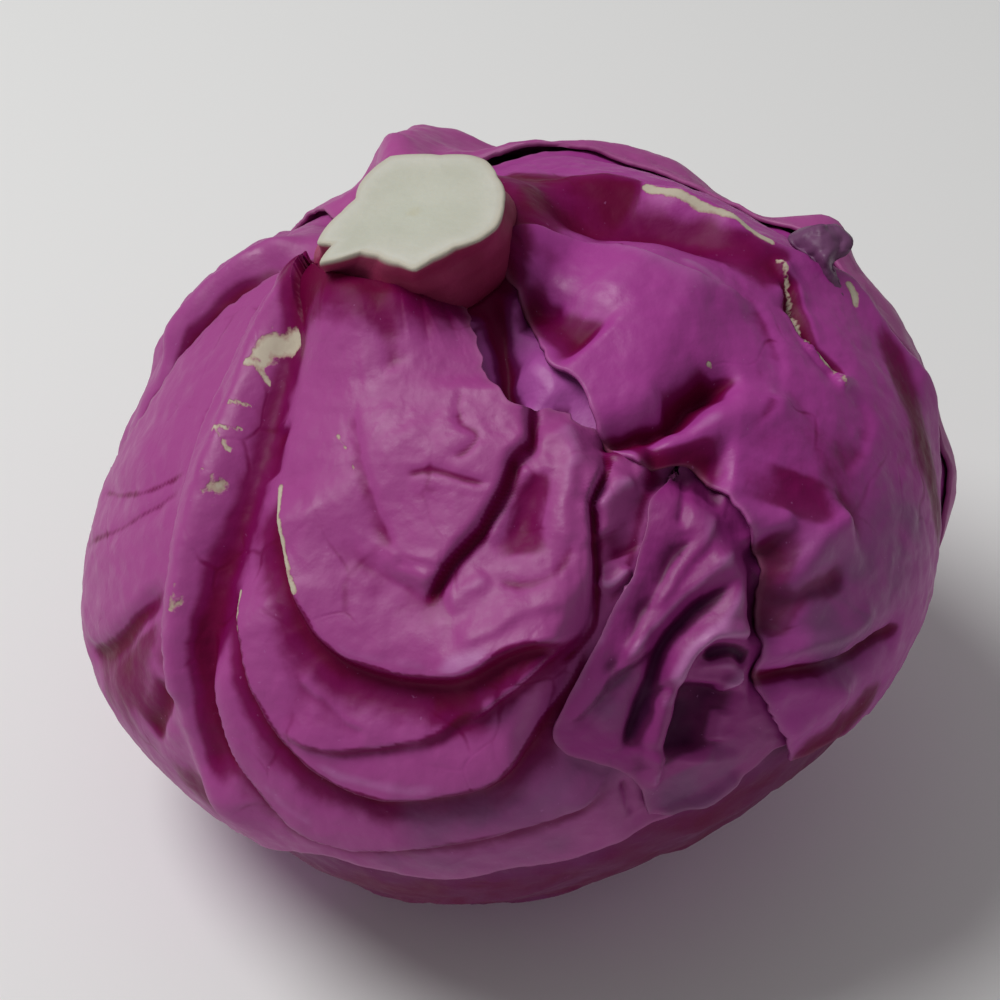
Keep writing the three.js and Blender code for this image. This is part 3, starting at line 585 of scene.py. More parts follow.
BACK_PURPLE = leaf_skin("back leaf skin", (0.38, 0.06, 0.26), (0.13, 0.006, 0.06))
back_bumps = hidden((16, 178), (30, 174), (40, 170), (50, 166))
back_shoulder = hidden((16, 158), (28, 150), (38, 142), (50, 132), (60, 122))
back_rim = hidden((58, 108), (70, 96), (82, 92), (92, 88), (100, 82), (108, 78))
back_collar = hidden((11.5, 130), (12.5, 150), (12, 175))
back_dip = hidden((12, -150), (20, -160), (34, -172))
shoulder_bump, rim_bump = hidden((64, 104)), hidden((99, 76))
back_midrib = hidden((14, -176), (40, 176), (70, 168), (100, 160))
back_dust = hidden((80, 110), (95, 95), (110, 90))
back = leaf_form(
    level=0, wave=0.03, teeth=0.004,
    left=hidden((BASE, -155), (30, -163), (50, -160), (70, -164), (90, -170), (108, -176), (126, 176)),
    middle=hidden((BASE, 172), (30, 166), (50, 158), (70, 151), (90, 146), (110, 142), (132, 138)),
    right=hidden((BASE, 150), (25, 150), (36, 143), (43, 128), (50, 112), (58, 100), (65, 92), (73, 85),
                 (82, 82), (92, 78), (99, 72), (107, 68), (115, 80), (125, 100)),
    bends=[
        fold(back_bumps, 6.5, 8, 7),
        fold(back_collar, 4.5, 8),
        fold(back_dip, -3.0, 9, 8),
        fold(back_shoulder, 2.5, 6),
        fold(back_rim, 2.2, 9),
        fold(shoulder_bump, 5.5, 7),
        fold(rim_bump, 2, 7),
    ],
    ribs=[fold(back_midrib, 2.5, 5)],
    details=side_veins(5, start=24, step=16, slant=1, bearing=168, root=0, near=(10, 16), far=(28, 30)),
)
leaf_sheet("back_leaf", back, "leaf_back", BACK_PURPLE, rows=150, columns=150,
           bloom=[fold(back_dust, 0.8, 14)], crumple=0.3, edge_lift=0.25)


def level_with(x, y, near, nearer):
    """The point seen at a pixel that is as far from the eye as a point near it, less nearer millimetres."""
    along = sight_line(x, y)
    return eye + along * (((near - eye) @ view_back + nearer) / (along @ view_back))


SCRAP_ROWS, SCRAP_COLUMNS = 28, 20
SCRAP_BULGE, SCRAP_ROLL, SCRAP_LIFT = 3.0, 4.5, 0.5
SCRAP_CRUMPLES = ((1.1, 2.2), (0.6, 0.9))
SCRAP_WAVE, WAVE_ACROSS, WAVE_ALONG = 0.7, 5, 3
SCRAP_MARKS = dict(relief=0.0, shade_light_and_tint=-0.1, bloom=0.3, rim=0.0, worn=0.0)
SCRAP_SKIN = leaf_skin("dried scrap", (0.15, 0.05, 0.13), (0.06, 0.012, 0.045), (0.03, 0.006, 0.02))
scrap_left = ((822, 296), (814, 278), (814, 263), (800, 251), (789, 239), (803, 228))
scrap_right = ((848, 298), (838, 280), (832, 263), (848, 252), (852, 240), (838, 224))
shoulder_point = on_head(seen((845, 300)))[0]
scrap_edges = [curve([level_with(x, y, shoulder_point, SCRAP_LIFT) for x, y in side], SCRAP_ROWS + 1)
               for side in (scrap_left, scrap_right)]
scrap_form = bmesh.new()
bmesh.ops.create_grid(scrap_form, x_segments=SCRAP_COLUMNS, y_segments=SCRAP_ROWS, size=1)
for vert in scrap_form.verts:
    row, side = round((vert.co.y + 1) / 2 * SCRAP_ROWS), vert.co.x
    share = row / SCRAP_ROWS
    spot = scrap_edges[0][row] * (1 - side) / 2 + scrap_edges[1][row] * (1 + side) / 2
    swollen = SCRAP_BULGE * math.sin(math.pi * share) - SCRAP_ROLL * side * side * share
    swollen += sum(depth * noise.noise(Vector(spot / span)) for depth, span in SCRAP_CRUMPLES)
    swollen += SCRAP_WAVE * math.sin(WAVE_ACROSS * side + WAVE_ALONG * share)
    vert.co = Vector((spot + swollen * view_back) * MM)
bmesh.ops.recalc_face_normals(scrap_form, faces=scrap_form.faces[:])
scrap_mesh = bpy.data.meshes.new("curled_scrap")
scrap_form.to_mesh(scrap_mesh)
scrap_form.free()
for mark_name, amount in SCRAP_MARKS.items():
    mark(scrap_mesh, mark_name, np.full(len(scrap_mesh.vertices), amount))
scrap_mesh.shade_smooth()
scrap_mesh.materials.append(SCRAP_SKIN)
scrap = bpy.data.objects.new("curled_scrap", scrap_mesh)
bpy.context.collection.objects.link(scrap)
scrap_wall = scrap.modifiers.new("thickness", "SOLIDIFY")
scrap_wall.thickness, scrap_wall.offset = LEAF_THICKNESS * MM, 0
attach(scrap, "root")
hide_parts("leaf_back")

# The right leaf: the big wrapper leaf on the right, with a thick pale crest behind the stalk, a
# smooth pillow, and a deep crease where it is pinched in the middle of the head. Its shoulder is torn.
RIGHT_PURPLE = leaf_skin("right leaf skin", (0.37, 0.04, 0.275), (0.17, 0.003, 0.075))
under_back = [fold(back_shoulder, 2.5, 7), fold(back_rim, 1.6, 9)]
right_collar = hidden((11.5, 40), (12.5, 75), (12.5, 115), (12, 150), (11.5, 185))
crest_end = hidden((62, 86), (78, 80), (94, 76))


def traced(lifts, **lines):
    """Lines seen in the picture, by name, each on the plain head or lifted by so much over it."""
    return {name: seen(*pixels, lift=lifts.get(name, 0)) for name, pixels in lines.items()}


def folds(lines, **sizes):
    """Folds along named lines, each with its height, its left and right widths and its fade."""
    return [fold(lines[name], *size) for name, size in sizes.items()]


right_lines = traced(
    dict(crest=1.5, crest_worn=1.5, crest_rise=1.5, brow=2, lavender=2, stain=-1, hollow=-1,
         tear_rim=2, speck=3, behind_crest=5, low_ridge=2, bulge_light=2),
    crest=((505, 186), (530, 183), (555, 180), (588, 179), (621, 182), (646, 188), (687, 203), (712, 214),
           (739, 231), (778, 250)),
    margin=((499, 262), (506, 282), (519, 292), (543, 340), (551, 363), (566, 376), (577, 386),
            (589, 409), (607, 436), (650, 462), (690, 462), (714, 484), (751, 531), (770, 560),
            (770, 620), (762, 673), (775, 710), (795, 765)),
    hollow=((520, 225), (600, 222), (680, 236), (750, 268)),
    stain=((515, 222), (570, 222), (620, 222), (680, 238), (735, 258), (785, 286)),
    brow=((499, 263), (514, 251), (571, 244), (610, 247), (648, 265), (686, 280), (724, 291), (778, 303)),
    pillow=((560, 262), (620, 292), (680, 321), (740, 350)),
    bruise=((612, 248), (622, 249)),
    lap=((514, 300), (555, 320), (596, 350)),
    lap_crease=((519, 290), (538, 297), (549, 303), (567, 304)),
    pinch=((590, 446), (609, 440), (644, 432), (682, 415), (699, 396), (725, 381), (745, 375)),
    pinch_shade=((660, 412), (690, 398), (722, 376)),
    bulge=((640, 452), (704, 430), (742, 412), (800, 400)),
    bulge_light=((645, 443), (670, 434), (699, 423), (729, 408)),
    under_bulge=((640, 462), (690, 465), (735, 478)),
    dark_corner=((625, 448), (680, 456), (725, 470)),
    pit=((760, 530), (775, 565), (772, 600), (766, 650)),
    flank=((775, 600), (810, 545), (850, 510)),
    flank_crease=((772, 640), (800, 600), (850, 575)),
    low_ridge=((770, 672), (800, 655), (850, 640), (890, 610)),
    low_crease=((750, 684), (790, 679), (850, 666), (880, 648), (905, 628)),
    low_light=((770, 700), (800, 690), (838, 690), (860, 690)),
    low_bulge=((780, 745), (810, 720), (850, 700)),
    shoulder=((785, 290), (812, 335), (850, 385)),
    loop_vein=((744, 291), (766, 325), (778, 362), (770, 406), (744, 433)),
    loop_light=((768, 355), (775, 380), (768, 402)),
    side_groove=((854, 389), (866, 418), (862, 446), (840, 471)),
    triangle=((700, 478), (726, 510), (752, 540)),
    triangle_top=((728, 512), (760, 520), (795, 520)),
    lavender=((676, 254), (705, 268), (735, 288)),
    speck=((718, 353), (718, 359)),
    crest_worn=((640, 189), (666, 199), (700, 213), (732, 228), (775, 251)),
    crest_rise=((650, 191), (680, 204), (705, 215), (730, 228), (755, 240)),
    tear_rim=((777, 256), (789, 272), (801, 290), (809, 306), (815, 321), (821, 338), (832, 351),
              (844, 364), (849, 376), (854, 388)),
    tear_gap=((782, 276), (795, 302), (806, 323), (817, 343), (834, 361), (848, 378)),
    tear_lip=((776, 302), (792, 312), (799, 324), (808, 338), (815, 348), (838, 365)),
    slit=((800, 268), (812, 272), (826, 283)),
    sliver=((836, 288), (845, 298), (855, 313)),
    rim_shade=((855, 296), (872, 322), (890, 355), (914, 415), (936, 500), (942, 560)),
    flank_shade=((800, 470), (790, 520)),
    pillow_light=((640, 300),),
    outer_shade=((840, 470),),
    outer_bloom=((912, 480), (893, 560), (862, 630), (830, 690)),
    low_bloom=((845, 520), (815, 600), (790, 690)),
    behind_crest=((492, 160), (530, 159), (570, 160), (610, 165), (650, 177)),
    underside=((784, 764), (812, 757), (840, 737), (866, 708), (893, 668)),
)
right = leaf_form(
    level=0, wave=0.008, teeth=0.004, under=[back],
    left=right_lines["margin"],
    middle=hidden((BASE, 112), (20, 104), (34, 92), (50, 82), (66, 74), (84, 68), (102, 64), (120, 62)),
    right=hidden((BASE, 158), (25, 150), (40, 138), (56, 126), (72, 118), (88, 112), (104, 106), (121, 98)),
    bends=folds(
        right_lines,
        hollow=(-4.2, 6, 6, 0.3), pillow=(4.0, 16, 16, 0.4), crest_rise=(2.2, 3, 3.5, 0.3),
        lap=(-3.2, 6), pinch=(-4.0, 3.2, 2.2), pinch_shade=(-1.7, 5, 4), bulge=(1.8, 4),
        under_bulge=(-3, 6), pit=(-4.0, 5), flank=(2.4, 6), low_crease=(-1.8, 4, 4, 0.08),
        shoulder=(-1.6, 4),
    ) + [
        fold(right_collar, 6.0, 8, 8, 0.1),
        *under_back,
    ],
    ribs=[fold(np.vstack([right_lines["crest"], crest_end]), 2.8, 2.5, 5)],
    details=folds(
        right_lines,
        brow=(1.7, 0.9, 5.5), lap_crease=(-1.2, 1.0, 2.5), pinch=(-1.4, 1.2, 0.7),
        loop_vein=(-0.6, 1.2, 4), side_groove=(-0.7, 1.5, 5), triangle=(1.2, 3, 1.2),
        triangle_top=(0.8, 2, 3), flank=(1.0, 1.4, 3), flank_crease=(-1.2, 2.5, 1.2),
        low_ridge=(1.5, 1.8, 3), low_crease=(-1.8, 1.2, 1.6), low_light=(1.3, 2, 2.5),
        low_bulge=(1.6, 3.5), tear_gap=(-2.8, 1.4, 1.2, 0.15), tear_rim=(1.8, 2.6, 0.6, 0.1),
        tear_lip=(0.4, 0.7), slit=(-0.7, 0.8),
    ),
)
leaf_sheet(
    "right_leaf", right, "leaf_right", RIGHT_PURPLE, rows=210, columns=210,
    # Painted shade and light: most negative tints are painted shade in the hollow under the crest and
    # behind it, in the lap, pinch, pit, creases and tear, under the low edge and along the back leaf's rim;
    # the positive ones are painted highlights on the bulge, loop, lavender band, brow and pillow, and the
    # crest is lighter partly as its own paler rib and partly as painted highlight.
    shades_lights_and_tints=folds(
        right_lines,
        stain=(-1.05, 6, 6, 0.06), behind_crest=(-1.7, 5, 5, 0.12), underside=(-1.4, 4.5, 4.5, 0.3),
        lap=(-1.2, 4), pinch_shade=(-1.0, 4, 3.4), pinch=(-1.5, 1.1), dark_corner=(-1.3, 4.5),
        pit=(-1.5, 3.8, 3.8, 0.3), rim_shade=(-1.15, 4.4, 4.4, 0.3), flank_shade=(-0.5, 8),
        low_crease=(-1.3, 1.3, 1.3, 0.06), flank_crease=(-0.8, 2.5), loop_vein=(-0.3, 0.8, 1.5),
        bruise=(-1.2, 1.2), tear_gap=(-1.6, 1.7, 1.4, 0.1), bulge_light=(0.9, 1.6),
        loop_light=(1.1, 1.4), lavender=(0.9, 1.3, 2.2), brow=(0.3, 0.8, 3), crest=(0.5, 1.5, 2.5),
        pillow_light=(0.35, 11), outer_shade=(-0.3, 14),
    ),
    worn=folds(
        right_lines,
        crest_worn=(1.0, 0.9, 0.9, 0.04), speck=(1.0, 0.7), tear_rim=(0.75, 0.5, 0.5, 0.05),
        tear_lip=(0.6, 0.45), slit=(0.5, 0.5), sliver=(0.9, 1.0),
    ),
    bloom=folds(
        right_lines,
        outer_bloom=(1.0, 9, 11, 0.15), low_bloom=(0.55, 13, 13, 0.3),
    ),
)

# The torn leaf: what is left of a leaf that comes out from under the right leaf. It ends in a ragged
# tip in the middle of the head, and its lower half is crumpled into sharp folds.
TORN_PURPLE = leaf_skin("torn leaf skin", (0.27, 0.022, 0.185), (0.1, 0.006, 0.06), (0.05, 0.003, 0.035))
torn_lines = traced(
    {},
    margin=((688, 456), (676, 472), (659, 489), (650, 501), (647, 526), (638, 557), (633, 576),
            (618, 600), (600, 637), (582, 670), (564, 705), (553, 738), (566, 756), (594, 764),
            (622, 774), (642, 792), (652, 820)),
    ragged_end=((652, 820), (690, 812), (720, 803), (745, 785), (775, 765)),
    spine=((690, 470), (714, 500), (745, 545), (750, 580), (752, 640), (745, 680)),
    first_ridge=((745, 545), (719, 563), (693, 585), (668, 610), (640, 640), (610, 668)),
    furrow=((745, 566), (728, 585), (700, 606), (668, 640), (652, 680), (638, 720), (622, 765)),
    second_ridge=((748, 575), (728, 608), (698, 638), (678, 666), (663, 704), (655, 738), (645, 775)),
    pocket_rim=((757, 638), (730, 632), (708, 634), (690, 650), (681, 675), (673, 711), (662, 756),
                (655, 800)),
    dark_hollow=((715, 680), (705, 720), (690, 765)),
    lip=((647, 550), (620, 598), (596, 642), (576, 683), (560, 712)),
    panel_edge=((662, 640), (636, 658), (595, 696), (562, 734)),
    panel=((650, 670), (620, 700), (590, 730)),
    panel_fall=((682, 670), (654, 698), (636, 732), (628, 752)),
    tip_crease=((694, 466), (684, 500), (678, 530)),
    mid_crease=((700, 530), (672, 560), (650, 600), (622, 650), (600, 690)),
    upper_fold=((722, 505), (700, 545), (672, 580), (648, 615)),
    cuff=((693, 650), (725, 628), (760, 632)),
    cuff_shade=((700, 658), (730, 650), (756, 664)),
    cuff_light=((694, 667), (725, 665), (756, 673)),
    scroll=((726, 697), (734, 684), (749, 674)),
    low_light=((723, 752), (726, 735), (732, 715)),
    low_band=((664, 752), (690, 756), (724, 757)),
    low_rim=((657, 824), (690, 812), (720, 800), (748, 775)),
    blackness=((668, 700), (664, 740), (668, 775)),
    middle=((722, 540), (716, 620), (712, 700), (716, 790)),
    low_dust=((690, 770), (700, 800)),
)
torn = leaf_form(
    level=-0.6, wave=0.006, teeth=0.004, under=[right, back],
    left=np.vstack([hidden((BASE, 72), (26, 56), (38, 44)), torn_lines["margin"]]),
    middle=np.vstack([hidden((BASE, 92), (28, 76), (45, 55)), torn_lines["middle"]]),
    right=hidden((BASE, 112), (28, 98), (45, 84), (62, 76), (80, 74), (98, 70), (113, 62)),
    tip=np.vstack([torn_lines["ragged_end"], hidden((113, 62))]),
    bends=folds(
        torn_lines,
        spine=(2.4, 3, 9), first_ridge=(1.3, 4, 3), furrow=(-1.4, 1.8, 1.8, 0.3),
        second_ridge=(1.4, 2.4, 3), dark_hollow=(-3.5, 7), lip=(0.8, 4),
    ),
    details=folds(
        torn_lines,
        first_ridge=(0.7, 0.9, 1.6), furrow=(-0.6, 0.9), mid_crease=(-0.9, 0.9, 1.8),
        upper_fold=(0.8, 1.0, 2.0), second_ridge=(0.7, 1.0, 1.6), pocket_rim=(1.8, 0.8, 2.0, 0.1),
        panel_edge=(1.3, 0.8, 4), panel=(0.4, 3), panel_fall=(-0.9, 1.4, 0.8), tip_crease=(-1.0, 1.2),
        cuff=(0.9, 1.6, 1.2), cuff_shade=(-1.0, 1.2), cuff_light=(0.9, 1.0), scroll=(1.6, 1.1),
        low_light=(1.0, 1.6), low_band=(0.8, 1.5), low_rim=(1.6, 1.2, 3),
    ),
)
leaf_sheet(
    "torn_leaf", torn, "leaf_torn", TORN_PURPLE, rows=230, columns=170, crumple=0.12,
    # Painted shade and light: the negative tints are painted shade in the furrow, creases and folds, under
    # the cuff and in the dark hollows; the positive ones are painted highlights on the ridges, lips, rims,
    # scroll and upper fold.
    shades_lights_and_tints=folds(
        torn_lines,
        furrow=(-0.9, 1.1, 1.1, 0.3), mid_crease=(-0.5, 0.8, 1.6), upper_fold=(0.4, 0.8, 1.4),
        panel_edge=(-0.9, 1.6, 0.5), panel_fall=(-0.6, 1.6, 0.8), cuff_shade=(-1.3, 1.6),
        blackness=(-0.8, 5), dark_hollow=(-0.65, 7), pocket_rim=(0.7, 0.7, 0.9), first_ridge=(0.6, 0.9),
        second_ridge=(0.6, 0.9), lip=(0.8, 1.4), cuff_light=(0.6, 1.0), scroll=(0.8, 0.9),
        low_light=(0.8, 1.4),
    ),
    bloom=folds(
        torn_lines,
        panel=(0.8, 4, 5, 0.3), low_rim=(0.9, 4, 6), low_dust=(0.9, 10),
    ),
)

# The front leaf: the largest in sight, on the front and the left. Its midrib stands out as a sharp
# worn ridge, its side veins make terraces, and its toothed right margin lies over the folds below it.
FRONT_PURPLE = leaf_skin("front leaf skin", (0.345, 0.05, 0.24), (0.17, 0.003, 0.075))
front_base, midrib_start, midrib_end = hidden((11, -60)), hidden((12, -78)), hidden((97, -46))
front_collar = hidden((12, -112), (12.5, -80), (13, -45), (12.5, -5), (12, 20))
front_lines = traced(
    dict(midrib=1, rib_edge=1, first_vein=3.5, first_lip=3, second_vein=3, second_lip=3,
         third_vein=2.5, third_lip=2.5, fork=1, flap_edge=4, flap_crevice=1, crumpled_edge=3.5,
         lip_light=3, flap_vein=4, flap_loop=4, long_vein=4, low_flap_vein=4, abrasion=4.6,
         scratch_a=3.5, scratch_b=3, scratch_c=2.5, scratch_d=2.5, scratch_e=3.5, scratch_f=2.5,
         brown_rub=2.5, low_rub=2, pale_vein=1.5, pale_vein_low=1, fine_scratch=4, pillow_top=2,
         pillow_dip=4),
    midrib=((345, 275), (300, 308), (268, 342), (243, 395), (224, 440), (207, 490), (192, 550),
            (184, 610), (182, 670), (188, 720), (212, 790)),
    rib_edge=((312, 262), (274, 291), (255, 325), (240, 359), (221, 389), (202, 434), (191, 476),
              (179, 525), (172, 570), (168, 610), (170, 676), (172, 712)),
    groove=((352, 292), (322, 322), (298, 358), (277, 395), (261, 440), (246, 485), (231, 530),
            (215, 575), (204, 630), (200, 690), (208, 745), (232, 800)),
    branch=((284, 420), (276, 450), (272, 480)),
    streak=((198, 605), (207, 676), (219, 730), (240, 780)),
    pillow=((420, 300), (400, 380), (385, 470), (380, 560)),
    first_vein=((272, 480), (280, 528), (290, 576), (302, 608), (321, 639), (347, 659), (379, 671),
                (427, 678), (468, 672), (492, 658), (520, 645), (548, 640), (575, 640), (600, 644)),
    second_vein=((227, 570), (241, 640), (257, 693), (291, 747), (330, 779), (379, 797), (446, 793),
                 (489, 783), (526, 750), (553, 723), (573, 690), (598, 640)),
    third_vein=((199, 631), (211, 693), (232, 756), (270, 808), (301, 836), (346, 851), (396, 850),
                (460, 844), (526, 827), (576, 812), (598, 802), (631, 776)),
    toothed=((428, 273), (445, 288), (466, 311), (475, 333), (485, 366), (483, 378), (500, 399),
             (521, 416)),
    flap_edge=((532, 370), (529, 410), (526, 430), (525, 447), (510, 460), (506, 474), (499, 491),
               (479, 521), (453, 550), (434, 578), (420, 604)),
    flap_crevice=((531, 392), (531, 425), (530, 449), (515, 464), (510, 480), (503, 497), (484, 527),
                  (459, 555), (440, 583), (428, 606)),
    tongue_swell=((533, 465), (518, 490), (502, 520), (491, 545)),
    crumpled_edge=((585, 395), (602, 440), (600, 468), (587, 500), (588, 530), (590, 560), (590, 600),
                   (586, 625), (572, 643), (545, 662), (520, 683), (490, 706), (462, 730)),
    crumpled_shade=((606, 445), (606, 472), (593, 503), (594, 530), (596, 560), (596, 602), (592, 629),
                    (578, 650), (560, 664)),
    middle=((345, 330), (320, 400), (300, 480), (290, 560), (290, 640), (300, 720), (320, 800),
            (340, 858)),
    lower_margin=((557, 408), (592, 424), (660, 438), (702, 482), (700, 590), (692, 700), (692, 770),
                  (700, 815)),
    lobe_swell=((600, 490), (620, 530), (625, 575)),
    low_shade=((150, 760), (200, 800), (260, 860)),
    lower_edge=((330, 858), (379, 872), (446, 880), (526, 869), (584, 859), (647, 837), (700, 815)),
    oval=((537, 466), (529, 500), (523, 530), (528, 566)),
    tongue_ridge=((560, 415), (573, 450), (568, 490), (560, 525), (570, 558)),
    tongue_left=((549, 430), (543, 455), (549, 480)),
    tongue_loop=((499, 571), (512, 585), (533, 586), (558, 570), (575, 540)),
    tongue_nick=((577, 471), (581, 493), (589, 512)),
    second_lobe=((590, 514), (604, 499), (622, 486), (640, 478)),
    lobe_shelf=((604, 462), (616, 478), (634, 492)),
    lobe_dark=((602, 532), (612, 546), (620, 560)),
    lobe_rim=((592, 580), (606, 586), (620, 580), (631, 565)),
    cuff=((606, 455), (626, 444), (647, 446), (652, 462), (656, 480)),
    margin_shade=((668, 478), (653, 489), (643, 505), (639, 532), (632, 558), (622, 582), (606, 612)),
    tongue_lips=((446, 604), (470, 594), (492, 576)),
    tongue_sweep=((580, 590), (556, 604), (520, 612), (486, 632), (456, 646)),
    left_low_band=((92, 668), (125, 700), (160, 740)),
    low_left_vein=((80, 651), (103, 654), (125, 631), (150, 601), (170, 580)),
    low_left_dark=((110, 680), (140, 640), (165, 610)),
    lower_corner=((171, 685), (162, 714), (150, 740)),
    top_left_vein=((95, 492), (125, 493), (156, 486), (197, 463)),
    next_left_vein=((82, 550), (124, 524), (165, 499), (188, 476)),
    fork=((286, 716), (305, 733), (330, 741), (373, 743), (406, 740), (437, 733), (462, 715), (489, 695)),
    fork_branch=((301, 665), (316, 685), (338, 698), (354, 713), (373, 723), (373, 743)),
    under_flap=((489, 700), (470, 706), (430, 700)),
    first_lip=((330, 638), (362, 658), (400, 666), (440, 668)),
    lip_light=((428, 669), (455, 669), (482, 660), (508, 642)),
    second_lip=((308, 757), (345, 777), (400, 788), (450, 784)),
    third_lip=((255, 780), (280, 806), (320, 832)),
    grey_band=((390, 810), (460, 812), (540, 790), (600, 768), (640, 756)),
    low_grey=((360, 858), (440, 866), (520, 856), (600, 836)),
    flap_vein=((400, 477), (433, 471), (458, 480), (493, 487)),
    flap_loop=((448, 464), (471, 449), (478, 437), (461, 424), (458, 406), (470, 384)),
    long_vein=((352, 400), (362, 470), (378, 520), (392, 560)),
    low_flap_vein=((392, 560), (410, 570), (440, 574)),
    pillow_dip=((387, 300), (392, 350), (396, 385)),
    pillow_top=((345, 288), (380, 296), (405, 312)),
    notch=((627, 788), (636, 826)),
    abrasion=((250, 356), (262, 344), (280, 337), (296, 331)),
    scratch_a=((243, 364), (260, 362)),
    scratch_b=((227, 404), (244, 402)),
    scratch_c=((213, 432), (237, 427)),
    scratch_d=((219, 433), (226, 453)),
    scratch_e=((252, 363), (259, 377)),
    scratch_f=((199, 478), (208, 470)),
    brown_rub=((200, 508), (207, 492), (217, 475)),
    low_rub=((176, 615), (180, 582)),
    pale_vein=((276, 481), (282, 508), (287, 540), (296, 575), (306, 601)),
    pale_vein_low=((236, 587), (241, 612), (247, 640)),
    fine_scratch=((334, 434), (345, 452), (356, 478)),
)
front = leaf_form(
    level=0, wave=0.004, teeth=0.015, under=[torn, right],
    left=hidden((BASE, -130), (19, -126), (26, -118), (35, -110), (47, -100), (60, -104), (76, -112),
                (92, -116), (104, -106)),
    middle=np.vstack([hidden((BASE, -82)), front_lines["middle"]]),
    right=np.vstack([front_lines["toothed"], front_lines["lower_margin"]]),
    tip=np.vstack([hidden((104, -106), (106, -88), (106, -66)), front_lines["lower_edge"]]),
    bends=folds(
        front_lines,
        groove=(-3.8, 5, 4.5, 0.1), branch=(-1.0, 2.4), pillow=(4.3, 18, 18, 0.4),
        first_vein=(3.8, 12, 1.1, 0.12), second_vein=(3.6, 11, 1.1, 0.12),
        third_vein=(2.6, 9, 1.2, 0.12), flap_edge=(3.2, 0.9, 12, 0.1),
        flap_crevice=(-1.5, 1.1, 0.9, 0.1), crumpled_edge=(3.4, 0.7, 9, 0.1),
        crumpled_shade=(-1.5, 0.9, 0.6, 0.1), oval=(-1.3, 3.6, 3.6, 0.35), margin_shade=(-1.3, 2.2, 2.2),
        lobe_swell=(1.2, 5), low_left_vein=(-1.9, 2.0, 5), top_left_vein=(-0.5, 2.5, 5),
    ) + [
        fold(front_base, 4, 13),
        fold(front_collar, 7.5, 9, 9, 0.3),
    ],
    ribs=[fold(np.vstack([midrib_start, front_lines["midrib"], midrib_end]), 3.4, 6, 3.5, 0.1)],
    details=folds(
        front_lines,
        rib_edge=(1.5, 3.0, 0.7, 0.06), streak=(-0.9, 1.6, 0.9), fork=(1.3, 5, 0.8),
        fork_branch=(0.8, 3.5, 0.8), flap_vein=(-0.45, 0.8), flap_loop=(-0.4, 0.8),
        long_vein=(-0.5, 1.0, 3), low_flap_vein=(-0.6, 0.9), pillow_dip=(-0.7, 2.4),
        next_left_vein=(-0.4, 1.0, 2.5), lower_corner=(-1.2, 1.4, 3), tongue_ridge=(1.1, 2.0, 3.2),
        tongue_swell=(0.9, 1.8), tongue_left=(0.5, 1.5), tongue_loop=(-0.4, 1.0),
        tongue_nick=(-0.5, 1.0), tongue_lips=(0.7, 2.0), tongue_sweep=(0.8, 1.0, 3.0),
        second_lobe=(1.3, 2.2), lobe_shelf=(0.9, 1.6), lobe_dark=(-1.6, 3.6), lobe_rim=(1.6, 1.6, 0.8),
        cuff=(1.4, 1.0, 1.8), lip_light=(0.6, 3.5, 1.2, 0.4), notch=(-0.8, 0.8),
    ),
)
leaf_sheet(
    "front_leaf", front, "leaf_front", FRONT_PURPLE, rows=220, columns=220, crowd=0.22,
    # Painted shade and light: most negative tints are painted shade in the groove beside the midrib, under
    # the terrace edges and the flap, in the crevices, folds and lobes, near the stalk and low on the left,
    # while the faint lines on the flap are the leaf's own darker veins; the positive tints are painted
    # highlights on the lips, ridges and rims.
    shades_lights_and_tints=folds(
        front_lines,
        groove=(-0.92, 4.2, 3.0, 0.1), branch=(-0.6, 1.8), streak=(-0.7, 1.4),
        first_vein=(-1.25, 0.4, 6.8, 0.14), second_vein=(-1.2, 0.4, 5.5, 0.1),
        third_vein=(-0.8, 0.4, 4.5, 0.1), under_flap=(-0.5, 4), flap_crevice=(-1.3, 0.8, 0.7, 0.06),
        crumpled_shade=(-1.3, 0.5, 0.4, 0.06), margin_shade=(-0.5, 0.8, 0.8), oval=(-0.75, 3.8),
        tongue_nick=(-0.5, 1.0), tongue_loop=(-0.3, 0.9), tongue_swell=(0.35, 1.2),
        tongue_lips=(0.7, 1.4), cuff=(-0.9, 2), left_low_band=(-0.7, 9, 9, 0.35), lobe_dark=(-0.35, 3.2),
        pillow_top=(-0.3, 5), pillow_dip=(-0.3, 2), flap_vein=(-0.6, 0.6), flap_loop=(-0.45, 0.6),
        long_vein=(-0.35, 0.6, 2), low_left_vein=(-1.5, 1.2, 1.2, 0.3),
        low_left_dark=(-0.8, 1.0, 6, 0.35), top_left_vein=(-0.7, 0.7), next_left_vein=(-0.6, 0.7),
        lower_corner=(-1.2, 1.5, 5), fork=(-0.7, 0.3, 1.5), low_shade=(-0.9, 7, 7, 0.35),
        first_lip=(0.7, 2.4, 0.7), lip_light=(1.5, 2.4, 0.8, 0.4), second_lip=(0.9, 1.6, 1.0),
        third_lip=(0.8, 1.6, 1.0), tongue_ridge=(0.5, 1.4, 2), second_lobe=(0.7, 1.4),
        lobe_rim=(1.2, 0.9, 0.6),
    ),
    worn=folds(
        front_lines,
        abrasion=(1.0, 2.2, 1.9, 0.04), scratch_a=(0.8, 1.0, 1.0, 0.05), scratch_b=(0.8, 0.7, 0.7, 0.05),
        scratch_c=(0.8, 0.6, 0.6, 0.05), scratch_d=(0.8, 0.6, 0.6, 0.05),
        scratch_e=(0.7, 0.6, 0.6, 0.05), scratch_f=(0.6, 0.7, 0.7, 0.05),
        brown_rub=(0.5, 2.6, 2.6, 0.05), low_rub=(0.5, 1.3, 1.3, 0.05),
        pale_vein=(0.95, 0.75, 0.75, 0.06), pale_vein_low=(0.9, 0.7, 0.7, 0.06),
        fine_scratch=(0.55, 0.5, 0.5, 0.05),
    ),
    bloom=folds(
        front_lines,
        grey_band=(0.9, 5, 6, 0.12), low_grey=(0.6, 4),
    ),
)

